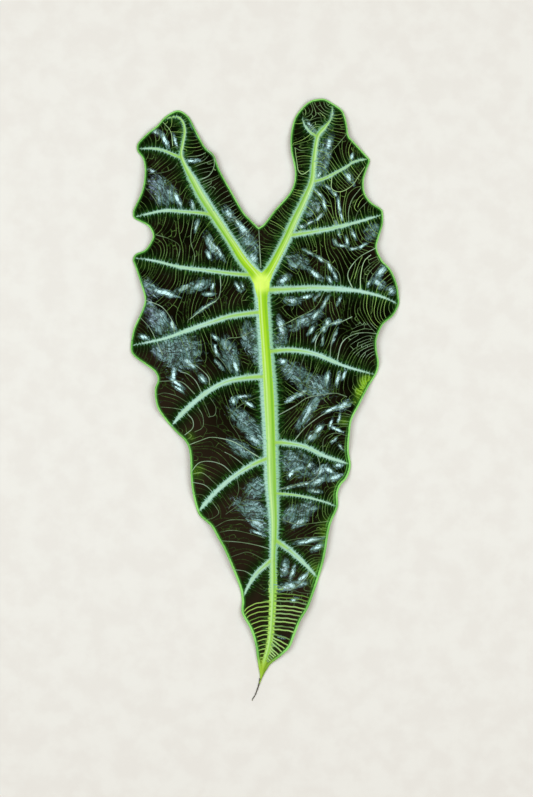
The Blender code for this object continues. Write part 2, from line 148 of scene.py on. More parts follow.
SIDE_RIBS = (
    side_rib(((-41.5, 121), (-45, 122.3), (-50, 124.4), (-55, 125.6), (-62.5, 125.6)), 1.5, 0.7),
    side_rib(((-25.5, 92), (-30, 93.2), (-40, 94), (-50, 94.6), (-60, 92.6), (-64.8, 91.5)),
             1.7, 0.8),
    side_rib(((-7, 62.5), (-15, 63), (-30, 64.8), (-42.5, 66.4), (-55, 69.5), (-64.8, 71)),
             1.8, 0.8),
    side_rib(((-1, 44), (-10, 42.9), (-20, 41), (-40, 34.2), (-50, 30.7), (-66, 27.3)),
             2.1, 0.8),
    side_rib(((1, 11.8), (-10, 11), (-20, 8.8), (-30, 3.1), (-40, -5.4), (-46, -12.2)),
             2.2, 1.7),
    side_rib(((3, -28.5), (-5, -31.8), (-15, -37.8), (-25, -46.4), (-33.2, -55.8)), 2.1, 1.6),
    side_rib(((4.5, -79), (-4, -86.5), (-8.5, -93.5), (-11, -99)), 2.1, 0.9),
    side_rib(((26.4, 131.5), (22.5, 134), (19.8, 137.5), (18.8, 141)), 1.3, 0.35),
    side_rib(((23.6, 109), (30, 110.8), (40, 116), (45, 119.2), (51.6, 120.5)), 1.5, 0.8),
    side_rib(((11, 82), (20, 83.3), (30, 85), (40, 87.2), (50, 90), (58.4, 92.6)),
             1.9, 0.9),
    side_rib(((-1.5, 54.8), (10, 55.2), (25, 55.9), (40, 55.2), (50, 53.8), (60, 51),
              (66.5, 48)), 2.3, 0.9),
    side_rib(((0.5, 24), (12.5, 25), (25, 23), (40, 16.9), (55.6, 12.5)), 2, 0.7),
    side_rib(((3, -21.3), (10, -21.4), (20, -23.3), (30, -28), (42.2, -32)), 2, 1.1),
    side_rib(((4, -46.5), (15.5, -47.5), (27.5, -50.2), (36.2, -53.2)), 1.3, 0.7),
    side_rib(((4.5, -69.5), (13, -75.5), (21, -83), (27, -89.5)), 2.2, 0.9),
)
# The stronger veins between the ribs, from where each leaves a rib.
STRONG_VEINS: Sequence[Path] = (
    ((-2, 66), (-2.5, 75), (-3, 85)),
    ((-32.5, 110), (-28, 112), (-25.5, 116), (-25.5, 121), (-29, 125)),
    ((-24.5, 49.3), (-30, 46), (-37.2, 40.4)),
    ((-22.3, 62), (-22, 56), (-22.8, 51.5), (-24.5, 49.3)),
    ((-45.1, 33.5), (-46, 39), (-51.2, 46.3), (-60, 50)),
    ((-51, 22.5), (-54, 29.2), (-57.5, 36), (-62.5, 41.5)),
    ((-27.5, 7.5), (-28.5, 12), (-34.5, 17.2), (-39, 18.5)),
    ((-31.5, 3.5), (-34.5, 9.5), (-38.5, 13), (-42, 14)),
    ((-35, 3), (-40, 8), (-44, 9.5), (-53, 9.3)),
    ((-1.5, -29.5), (-7, -26), (-12.5, -22.5), (-18, -20), (-26.5, -18.6), (-32, -20.2), (-38, -22.5)),
    ((-15.5, -37.5), (-21, -32.5), (-27.5, -30.6), (-33, -31.5), (-36.8, -36)),
    ((-10, -33), (-13.5, -30), (-17, -27.5), (-20, -26)),
    ((-25.5, -46.5), (-30, -42.5), (-36.5, -41)),
    ((3, -74.6), (-4, -72.5), (-12, -71), (-21.5, -70.3)),
    ((-6, -88), (-10, -85.5), (-15.5, -84.7)),
    ((-38.5, -7), (-36, -10), (-36, -14), (-40, -17.5)),
    ((43.8, 55.5), (41.4, 63), (46.7, 70.8), (55.5, 76)),
    ((47.7, 55), (47.8, 62), (49.5, 69), (53, 72.5)),
    ((25, 24), (25.5, 29.5), (28.5, 34.5), (33, 38), (38, 39), (43.5, 41.5)),
    ((36, 19.5), (38.5, 28.5), (44, 32.6), (50, 33.6), (56, 33)),
    ((32.5, 21), (33, 27), (34, 31), (36, 35.5)),
    ((6.5, -7.7), (15, -3), (21, 1), (28, 2.5), (35, 3.4), (41, 1.6)),
    ((14.5, -20.5), (20, -14), (27, -8.5), (33, -5.5), (43, -3)),
    ((6, -45), (15.9, -42.2), (22, -41), (26, -38), (27.5, -33), (26, -27)),
    ((4.5, -92), (13, -94.5), (20.5, -89), (22, -85)),
)
# Veins of middle strength.
MILD_VEINS: Sequence[Path] = (
    ((-39, 121.5), (-33, 122), (-29.5, 123.5)),
    ((-43.5, 118.5), (-46, 115.5), (-51, 113.5), (-58, 113)),
    ((-26, 94.5), (-22, 97.5), (-16.5, 99.5)),
    ((-53, 96.5), (-55.5, 101), (-60.5, 107)),
    ((-46, 127), (-47, 134), (-51, 139)),
    ((-44, 67.5), (-42.5, 76.5), (-48, 80.5), (-54.5, 82.5)),
    ((-36, 66), (-35, 72), (-37, 80), (-35.5, 92)),
    ((-38.5, 38.5), (-37.5, 45), (-41.5, 49.5), (-48, 50.5), (-53, 48)),
    ((-3, 36), (-12, 31.5), (-18.5, 30.5), (-19, 26), (-13.5, 20)),
    ((-27, 33), (-26, 25), (-21, 19), (-17, 13)),
    ((-39, -1), (-44, 2), (-50, 3.5), (-54, 2.5)),
    ((-41, -5), (-46, -4), (-52, -3.5)),
    ((-46.5, -12.5), (-45, -14), (-43, -16), (-40.5, -18.5)),
    ((-33.5, -3.5), (-31, -8), (-31, -13.5), (-35, -16)),
    ((-27.5, 1.5), (-24.5, -3.5), (-25, -7.5), (-28, -8.5)),
    ((-31, 0.5), (-28.5, -5), (-27, -10), (-26.6, -18)),
    ((-1, 2), (-6, 0.5), (-14, -4), (-17.5, -10), (-13.5, -17), (-11, -22)),
    ((-16.5, -27.5), (-22, -25.5), (-30, -24.8), (-36, -27.5)),
    ((-22.5, -43.5), (-25.5, -41), (-31, -36.5), (-36.5, -37)),
    ((-28.5, -50), (-31, -47.5), (-35.5, -47)),
    ((-14, -38.5), (-13, -45), (-15, -50), (-18, -54)),
    ((-27, -50), (-24, -54), (-23, -56.5), (-26, -59), (-31, -60)),
    ((2.5, -50.5), (-4, -50.2), (-10, -50), (-14, -53), (-19.5, -57)),
    ((1, -61), (-8, -60), (-18, -60), (-25, -63.5)),
    ((0, -69), (-8, -66.5), (-16, -65), (-22.5, -66)),
    ((0, -80), (-8, -76), (-13, -77), (-18.5, -79)),
    ((22.5, 125), (18, 124.6), (15, 126)),
    ((22.5, 115), (19, 112.8), (16.8, 114.5), (16, 119), (15.2, 126), (16.5, 133), (19, 138.5)),
    ((24.5, 119), (33, 124), (38.5, 130), (41, 133)),
    ((33.5, 111.5), (33.5, 105.5), (38, 104), (43.5, 107), (47, 112), (50, 116.5)),
    ((42, 88), (41.8, 94), (43.5, 100), (48, 106)),
    ((45, 89), (46.5, 94), (51.5, 99.5)),
    ((38, 57), (37, 63), (33, 67.5), (28, 71), (20, 75.5)),
    ((4.5, 35), (16, 41), (25, 46), (30, 54.5)),
    ((20, 23), (17.5, 14), (20, 7), (31, 5)),
    ((20, -22.5), (22.5, -17), (28, -13), (34.5, -12), (41.5, -12)),
    ((29, -27), (29.5, -19.5), (35, -16.5), (41.5, -18)),
    ((6.5, -59), (16, -62), (24, -61.5), (32, -60.5)),
    ((8, -71), (18, -69), (30.5, -68)),
    ((11, -75), (18, -72.5), (30, -73.5)),
)


# Where the blade buckles to face one of the lights, so that it shines, and where the upper skin paints a
# sheen
# into its colour as well: middle, half sizes along and across its run, and the run's direction in degrees.
SHEENS: Sequence[tuple[float, float, float, float, float]] = (
    (-51, 104, 5.2, 3.2, -50), (-43.5, 100, 5, 1, -65), (-56.5, 114.5, 2, 0.6, -20),
    (-44.6, 129, 3.6, 0.6, -72), (-50, 130, 4, 1, -65), (-54.5, 134, 2.5, 1.2, -35),
    (-35, 136, 5, 1.2, -62), (-36, 119.5, 3.5, 0.8, 0), (-36, 97, 3, 0.8, -70), (-34, 87, 3.2, 0.8, 75),
    (-27, 78, 5, 1.4, -65), (-23.5, 74.5, 4.5, 1.2, -55), (-28, 72, 2.5, 0.8, -60), (-18, 93, 3, 1.5, -50),
    (-14, 89, 3, 0.8, -60), (-11, 85.5, 3.5, 1.4, -50), (-8, 79, 4, 2.2, -60), (-5.8, 70.5, 2.5, 1.5, -60),
    (-58, 56, 3.5, 2, -40), (-50, 53.5, 6, 1.2, -15), (-40, 56, 4, 1.2, 25), (-33, 57, 4.5, 1.7, 20),
    (-28, 52.8, 2.6, 0.8, 0), (-26, 56.5, 2.2, 0.7, 80), (-30, 46, 6, 0.8, 36), (-13.5, 56.5, 2.8, 1, -60),
    (-11, 57, 2, 0.6, -70), (-57, 44, 4, 2, -60), (-52.5, 38.5, 5.2, 2.8, -50), (-46, 37, 3, 1, -60),
    (-60.5, 31.5, 2.6, 1, -20), (-42.5, 25, 6.2, 5.4, 0), (-52, 24, 3.2, 2, -40), (-38, 18.5, 4, 1.5, -40),
    (-45.5, 12.5, 3, 1, 90), (-24.5, 31, 2.2, 0.8, -40), (-24.5, 25, 3, 0.8, -70),
    (-22.8, 17.5, 3.2, 0.7, -50), (-17.5, 22.5, 5.5, 2.4, -72), (-14.5, 16.5, 3, 1.2, -70),
    (-6.5, 30, 5, 3, -70), (-4, 23.5, 4.5, 1.8, -80), (-31, 10.5, 2.2, 1.2, -50),
    (-44, 8.5, 4.5, 0.8, -35), (-43, 5.5, 3.6, 0.7, -35), (-15.6, -0.5, 1.6, 1.3, 60),
    (-11, 1.8, 3.6, 0.8, 5), (-8, -2, 3.2, 0.8, -35), (-11, -9, 5, 2, -36), (-7, -14, 6.5, 2.5, -38),
    (-4.5, -20, 4.5, 1.7, -40), (-11.5, -24.6, 5.2, 1.9, -33), (-4.4, -44, 3.6, 2.8, 30),
    (-6.5, -54.5, 6, 2.6, -22), (-3.6, -61.8, 4.2, 1.6, -30), (-3.2, -66.5, 3.6, 0.6, -18),
    (29.5, 120.5, 8.5, 2, 78), (32, 128, 3, 1.2, 80), (27, 112.5, 2, 1, 60), (22.5, 137, 3, 1.1, -50),
    (33.5, 142.5, 2, 0.9, 70), (42, 111.3, 3.5, 1.3, -62), (43.5, 121.5, 1.6, 0.8, 70),
    (23, 96.5, 3.2, 2.4, 60), (26.5, 103.5, 3.4, 0.8, -45), (29.6, 98, 3.4, 0.8, -78),
    (27.3, 91.2, 3.2, 0.8, 48), (22.6, 88.5, 2.6, 0.7, 30), (22.5, 102.5, 2.5, 0.8, -60),
    (31.5, 106, 2.5, 0.7, -35), (34.8, 103, 2.6, 0.8, -50), (37, 97, 4, 0.7, -82),
    (38.3, 91.5, 2.2, 0.6, -75), (35.5, 88.5, 2, 0.8, 80), (18.5, 86.6, 1.4, 1, 0),
    (37, 82.8, 2.2, 0.6, -80), (35.2, 78.6, 1.8, 0.8, -60), (38, 77, 2.6, 0.8, -15),
    (41, 79.4, 2.4, 0.8, 100), (44.5, 75.6, 2.6, 0.6, 8), (48.6, 76.8, 2.6, 0.6, 30),
    (44.3, 82.5, 2.8, 0.8, -60), (53.5, 84, 2.8, 2, 60), (22, 73.6, 3.2, 0.7, -28),
    (28, 70, 3.2, 0.8, -35), (32.5, 66.3, 3, 0.9, -55), (35, 62, 2.6, 0.7, -70), (16.5, 69, 3.5, 2.2, -20),
    (25, 62.8, 4.2, 1.1, -40), (32.5, 59.8, 2, 0.9, -60), (9.5, 60, 2.8, 1.5, 35), (58, 64, 2.6, 1.4, 50),
    (56.5, 58.5, 2.6, 1.6, -40), (52, 58.2, 2, 0.6, 60), (63, 54.6, 1.8, 1.5, 30),
    (13.5, 49.5, 2.8, 1.5, -10), (20.5, 51.3, 3.4, 0.9, 20), (26, 51.5, 2.6, 0.6, 50),
    (30, 48.5, 4, 0.8, 60), (37, 49.5, 3.2, 0.5, 65), (20.5, 39.8, 5.5, 1.8, 25), (25.5, 42.5, 3, 1.1, 45),
    (31, 38.5, 1.8, 1.3, 60), (29.5, 35.5, 1.8, 1.1, 60), (36, 38.6, 3, 0.8, 20),
    (34.5, 31.5, 4.2, 0.6, 68), (23.5, 35, 3.2, 0.9, 50), (25, 31, 2.6, 0.6, 60), (28.8, 30, 2.8, 0.6, 85),
    (8.4, 36, 4.5, 1.4, -75), (7.4, 29.5, 2.6, 2, 0), (8.8, 19.3, 2, 1.1, 0), (16.5, 12.5, 5, 2.8, -30),
    (24, 7.2, 5.5, 3.2, -25), (31, 10.5, 2.8, 1.3, 80), (14, 1.2, 3.8, 0.9, 35), (18.5, 3.4, 3, 1.1, 30),
    (36.5, 10.5, 3.6, 0.8, 80), (39.5, 12.5, 2.6, 0.6, 75), (21.5, -6.5, 6.5, 1.6, 58),
    (33, -4.8, 4, 0.8, 25), (39, -2.8, 3.4, 1.4, 30), (27, -14.5, 3, 1.1, 50), (23.5, -18.3, 2.8, 1.6, 30),
    (33, -11.5, 2.6, 0.6, 70), (37, -9.5, 2.6, 0.6, 75), (36, -14.8, 3.4, 0.7, -25),
    (34.5, -20, 2.6, 0.6, 40), (38, -23.5, 2.4, 0.7, -50), (16, -31.5, 5, 3.8, -20),
    (13, -36.8, 2.6, 1, 60), (22, -33, 2.2, 0.9, 60), (27, -35.8, 3.6, 1.5, 40),
    (26.5, -40.5, 4.2, 1.4, 30), (32, -35, 2.6, 1.1, -30), (36.5, -32.5, 1.8, 1.2, 0),
    (35, -38.5, 3, 1.3, 20), (12, -43.6, 4, 0.6, 15), (18.5, -42.2, 4, 0.7, 10), (25, -45.5, 3, 1, -10),
    (13, -57, 3, 2.2, 40), (20, -54.3, 4, 2.2, 10), (17.5, -61, 3.4, 1.4, 30), (22, -70.3, 7, 1, 10),
    (26.5, -73.5, 3.2, 1.2, 30), (9.8, -83.6, 3, 1.5, 80), (13.6, -86.5, 3.6, 0.9, 70),
    (13, -92.8, 7, 1.4, 12), (18.5, -89, 3.4, 1, 40), (14.5, -99.8, 2.4, 0.8, 20),
    (8.6, -118.6, 1.8, 0.5, -15),
)
# Where fine veins are unlike the rest: middle, half sizes, how likely a short vein ties each of their
# points to a neighbour, and how pale they are.
NETTED: Sequence[tuple[float, float, float, float, float, float]] = (
    (50, 30, 8, 9, 0.07, 0.6), (-50, 80, 9, 7, 0.07, 0.12), (15, -100, 9, 8, 0.1, 0.4),
    (46, -8, 6, 8, 0.08, 0.3), (-57, 48, 6, 8, 0.06, 0.2), (52, 66, 7, 7, 0.08, 0.3),
    (-29, 112, 6, 10, 0.01, 0.5), (-20, 97, 6, 10, 0.02, 0.55), (-12, 83, 6, 9, 0.02, 0.5),
    (27, 143, 9, 8, 0.04, 0.3), (10.5, -121, 4, 5, 0.12, 0.6),
)
# Where fine veins lie closer or further apart: left, right, low and high limits, and how far apart.
PITCHES: Sequence[tuple[float, float, float, float, float]] = (
    (-60, 3, -98, 6, 2.4), (-68, -2, 6, 95, 1.75), (18, 46, -95, -15, 1.45), (10, 68, 75, 151, 1.4),
)
# Where the dark colour gives out and the blade is yellow: middle, half sizes, and how yellow.
BLOTCHES: Sequence[tuple[float, float, float, float, float]] = (
    (51.5, 9, 5.5, 4, 1), (48.5, 4.5, 4.5, 4.5, 0.95), (46, 0, 3.5, 3.5, 0.6), (39, -10.5, 5.5, 3.5, 0.5),
    (-60, 67, 5, 3, 0.35), (-33, -35.5, 6, 5, 0.55), (-37, -18, 4.5, 5, 0.45), (30, -66, 6, 13, 0.45),
    (24.5, -87, 5.5, 10, 0.5), (35.5, -47, 4.5, 9, 0.4), (42, -26, 3, 8, 0.4),
)


class VeinRank(Enum):
    """How strong a vein is: its girth where it starts and where it ends, and how pale it is."""

    STRONG = (0.29, 0.17, 0.8)
    RUNG = (0.5, 0.4, 0.25)
    THIN_RUNG = (0.36, 0.28, 0.05)
    MILD = (0.23, 0.14, 0.45)
    FINE = (0.16, 0.09, 0.12)

    @property
    def girth(self) -> Pair:
        """Radius of the vein's thread at its start and its end, in millimetres."""
        return self.value[0], self.value[1]

    @property
    def pallor(self) -> float:
        """How pale the vein is, from 0, yellow-green, to 1, mint."""
        return self.value[2]


class Side(Enum):
    """The two faces of the leaf."""

    UPPER = "upper"
    LOWER = "lower"


def smooth_line(points: Path, step: float) -> np.ndarray:
    """A Catmull-Rom curve through points.

    Args:
        points: the places it passes through.
        step: about how far apart its samples are.

    Returns:
        The samples, one row each.
    """
    spots = np.array(points, dtype=float)
    ends = np.vstack([2 * spots[0] - spots[1], spots, 2 * spots[-1] - spots[-2]])
    run = []
    for before, start, end, after in zip(ends, ends[1:], ends[2:], ends[3:]):
        count = max(1, round(math.dist(start, end) / step))
        share = (np.arange(count) / count)[:, None]
        run.append(0.5 * (2 * start + (end - before) * share
                          + (2 * before - 5 * start + 4 * end - after) * share ** 2
                          + (3 * start - before - 3 * end + after) * share ** 3))
    return np.vstack(run + [spots[-1:]])


@dataclass(frozen=True)
class Nearest:
    """Where a line is nearest to each of some spots."""

    distance: np.ndarray
    share: np.ndarray
    foot: np.ndarray
    side: np.ndarray


def nearest_on(line: np.ndarray, spots: np.ndarray, chunk: int = 3000) -> Nearest:
    """Find the nearest place of a line to each spot.

    Args:
        line: samples of the line.
        spots: the spots, one row each.
        chunk: how many spots are worked out at once.

    Returns:
        Distance, share of the line's length, nearest place, and the side: 1 left of the line, -1 right.
    """
    start = line[:-1]
    leg = line[1:] - start
    leg_square = np.maximum((leg ** 2).sum(1), 1e-12)
    run = np.concatenate([[0.0], np.cumsum(np.sqrt(leg_square))])
    found = []
    for first in range(0, len(spots), chunk):
        part = spots[first:first + chunk]
        offset = part[:, None, :] - start[None]
        share = np.clip((offset * leg).sum(2) / leg_square, 0.0, 1.0)
        square = ((offset - share[..., None] * leg) ** 2).sum(2)
        best = square.argmin(1)
        rows = np.arange(len(part))
        along = run[best] + share[rows, best] * np.sqrt(leg_square[best])
        foot = start[best] + share[rows, best][:, None] * leg[best]
        away = part - foot
        turn = leg[best, 0] * away[:, 1] - leg[best, 1] * away[:, 0]
        found.append((np.sqrt(square[rows, best]), along / run[-1], foot, np.where(turn >= 0, 1.0, -1.0)))
    return Nearest(*(np.concatenate(column) for column in zip(*found)))


def smooth_step(value: np.ndarray, low: float, high: float) -> np.ndarray:
    """Ease from 0 at low to 1 at high."""
    share = np.clip((value - low) / (high - low), 0.0, 1.0)
    return share * share * (3 - 2 * share)


def unit(rows: np.ndarray) -> np.ndarray:
    """Each row as a direction, one long."""
    return rows / np.maximum(np.hypot(*rows.T), 1e-6)[:, None]


def left_of(rows: np.ndarray) -> np.ndarray:
    """Each direction turned a quarter to the left."""
    return np.column_stack([-rows[:, 1], rows[:, 0]])


def off_middle(spots: np.ndarray, middle: Pair, halves: Pair) -> np.ndarray:
    """How far each spot is from the middle of an oval, with 1 on the oval."""
    return np.hypot((spots[:, 0] - middle[0]) / halves[0], (spots[:, 1] - middle[1]) / halves[1])


@dataclass
class Survey:
    """What the form knows about each of some spots, in millimetres."""

    to_edge: np.ndarray
    main: list[Nearest]
    sides: list[Nearest]
    main_gap: np.ndarray = field(init=False)
    main_half: np.ndarray = field(init=False)
    main_share: np.ndarray = field(init=False)
    main_across: np.ndarray = field(init=False)
    side_gap: np.ndarray = field(init=False)
    side_half: np.ndarray = field(init=False)
    side_share: np.ndarray = field(init=False)

    def __post_init__(self) -> None:
        """Pick the main rib and the side rib whose band is nearest."""
        for name, ribs, found in (("main", MAIN_RIBS, self.main), ("side", SIDE_RIBS, self.sides)):
            halves = np.array([rib.band_at(near.share) for rib, near in zip(ribs, found)])
            gaps = np.array([near.distance for near in found]) - halves
            best = gaps.argmin(0)
            rows = np.arange(len(best))
            setattr(self, f"{name}_gap", gaps[best, rows])
            setattr(self, f"{name}_half", halves[best, rows])
            setattr(self, f"{name}_share", np.array([near.share for near in found])[best, rows])
            if name == "main":
                signed = np.array([near.distance * near.side for near in found])[best, rows]
                self.main_across = np.clip(signed / self.main_half, -1.0, 1.0)


@dataclass
class LeafForm:
    """The leaf's plan and heights, by the same rules as the CAD, and finer."""

    blade: float = 0.7
    arch: float = 0.068
    rib_stand: float = 0.85
    pillow: float = 2.4
    wave: float = 2.6
    pillow_reach: float = 7.5
    swell: float = 0.55
    swell_lengths: Pair = (13.0, 17.0)
    swell_starts: Pair = (0.7, 1.9)
    keel_shape: float = 3.0
    stalk_centre: Pair = (-1.5, 61.0)
    stalk_radii: Pair = (4.6, 5.4)
    stalk_flat_share: float = 0.72
    stalk_depth: float = 5.0
    line_step: float = 1.0
    edge_step: float = 0.8
    point_from: float = -133.0
    point_end: float = -142.2
    point_share: float = 0.35

    def __post_init__(self) -> None:
        """Draw the edge and the ribs' centre lines."""
        left = smooth_line(LEFT_EDGE, self.edge_step)
        right = smooth_line(tuple(RIGHT_EDGE) + tuple(LEFT_EDGE[:1]), self.edge_step)
        whole = np.vstack([left, right[:-1]])
        self.middle = (whole.min(0) + whole.max(0)) / 2
        self.main_lines = [smooth_line(rib.points, self.line_step) for rib in MAIN_RIBS]
        self.side_lines = [smooth_line(rib.points, self.line_step) for rib in SIDE_RIBS]
        self.edge = self.pointed(whole)
        self.edge_ring = np.vstack([self.edge, self.edge[:1]])

    def pointed(self, edge: np.ndarray) -> np.ndarray:
        """The edge drawn out to a finer point, without the dry thread, which is a piece of its own."""
        kept = edge[edge[:, 1] > self.point_end]
        midrib = self.main_lines[0][::-1]
        middle = np.interp(kept[:, 1], midrib[:, 1], midrib[:, 0])
        share = 1 - (1 - self.point_share) * smooth_step(-kept[:, 1], -self.point_from, -self.point_end)
        return np.column_stack([middle + (kept[:, 0] - middle) * share, kept[:, 1]])

    def inside(self, spots: np.ndarray) -> np.ndarray:
        """True for each spot that the edge goes round."""
        after = np.roll(self.edge, -1, axis=0)
        rise = np.where(after[:, 1] == self.edge[:, 1], 1.0, after[:, 1] - self.edge[:, 1])
        x, y = spots[:, :1], spots[:, 1:]
        spans = (self.edge[:, 1] > y) != (after[:, 1] > y)
        crossing = self.edge[:, 0] + (y - self.edge[:, 1]) * (after[:, 0] - self.edge[:, 0]) / rise
        return (spans & (x < crossing)).sum(1) % 2 == 1

    def survey(self, spots: np.ndarray) -> Survey:
        """Measure every spot against the edge and the ribs."""
        return Survey(nearest_on(self.edge_ring, spots).distance,
                      [nearest_on(line, spots) for line in self.main_lines],
                      [nearest_on(line, spots) for line in self.side_lines])

    def rise(self, spots: np.ndarray, found: Survey) -> np.ndarray:
        """Height of the blade's underside between ribs: arched halves, pillowed panels, a waved edge."""
        distances = np.array([near.distance for near in found.main])
        to_main = distances.min(0)
        keels = [rib.keel[0] + (rib.keel[1] - rib.keel[0]) * near.share
                 for rib, near in zip(MAIN_RIBS, found.main)]
        main_keel = np.choose(distances.argmin(0), keels)
        to_rib = np.min([near.distance for near in found.main + found.sides], axis=0)
        span = to_main + found.to_edge
        across = to_main / span
        clear_of_ribs = 1 - np.exp(-(to_rib / self.pillow_reach) ** 2)
        x, y = spots.T
        swell = self.swell * np.sin(x / self.swell_lengths[0] + self.swell_starts[0])
        swell *= np.sin(y / self.swell_lengths[1] + self.swell_starts[1])
        pillow = (self.pillow + swell) * (1 - across ** 4) + self.wave * across ** 4
        arch = self.arch * span * np.sin(math.pi * across)
        return self.rib_stand * main_keel * (1 - across) ** 3 + arch + pillow * clear_of_ribs

    def rib_relief(self, spots: np.ndarray, found: Survey) -> tuple[np.ndarray, np.ndarray]:
        """How far ribs and the stalk hang below the blade, and how far ribs stand above it."""
        keel = np.zeros(len(spots))
        crown = np.zeros(len(spots))
        for rib, near in zip(MAIN_RIBS + SIDE_RIBS, found.main + found.sides):
            half, depth, height = (first + (last - first) * near.share
                                   for first, last in (rib.half_width, rib.keel, rib.crown))
            close = np.clip(near.distance / half, 0.0, 1.0)
            keel = np.maximum(keel, depth * np.sqrt(1 - close ** self.keel_shape))
            crown = np.maximum(crown, height * np.cos(0.5 * math.pi * close) ** 2)
        stalk = np.clip((1 - self.off_stalk(spots)) / (1 - self.stalk_flat_share), 0.0, 1.0)
        return np.maximum(keel, self.stalk_depth * stalk), crown

    def off_stalk(self, spots: np.ndarray) -> np.ndarray:
        """How far each spot is from the stalk's middle, with 1 at the stalk's skin."""
        return off_middle(spots, self.stalk_centre, self.stalk_radii)

    @staticmethod
    def off_heart(spots: np.ndarray) -> np.ndarray:
        """How far each spot is from the point where the main ribs meet."""
        return np.hypot(*(spots - MIDRIB.points[0]).T)


@dataclass
class VeinRun:
    """One vein, as numbers of the net's spots in order."""

    spots: list[int]
    rank: VeinRank
    vigour: float


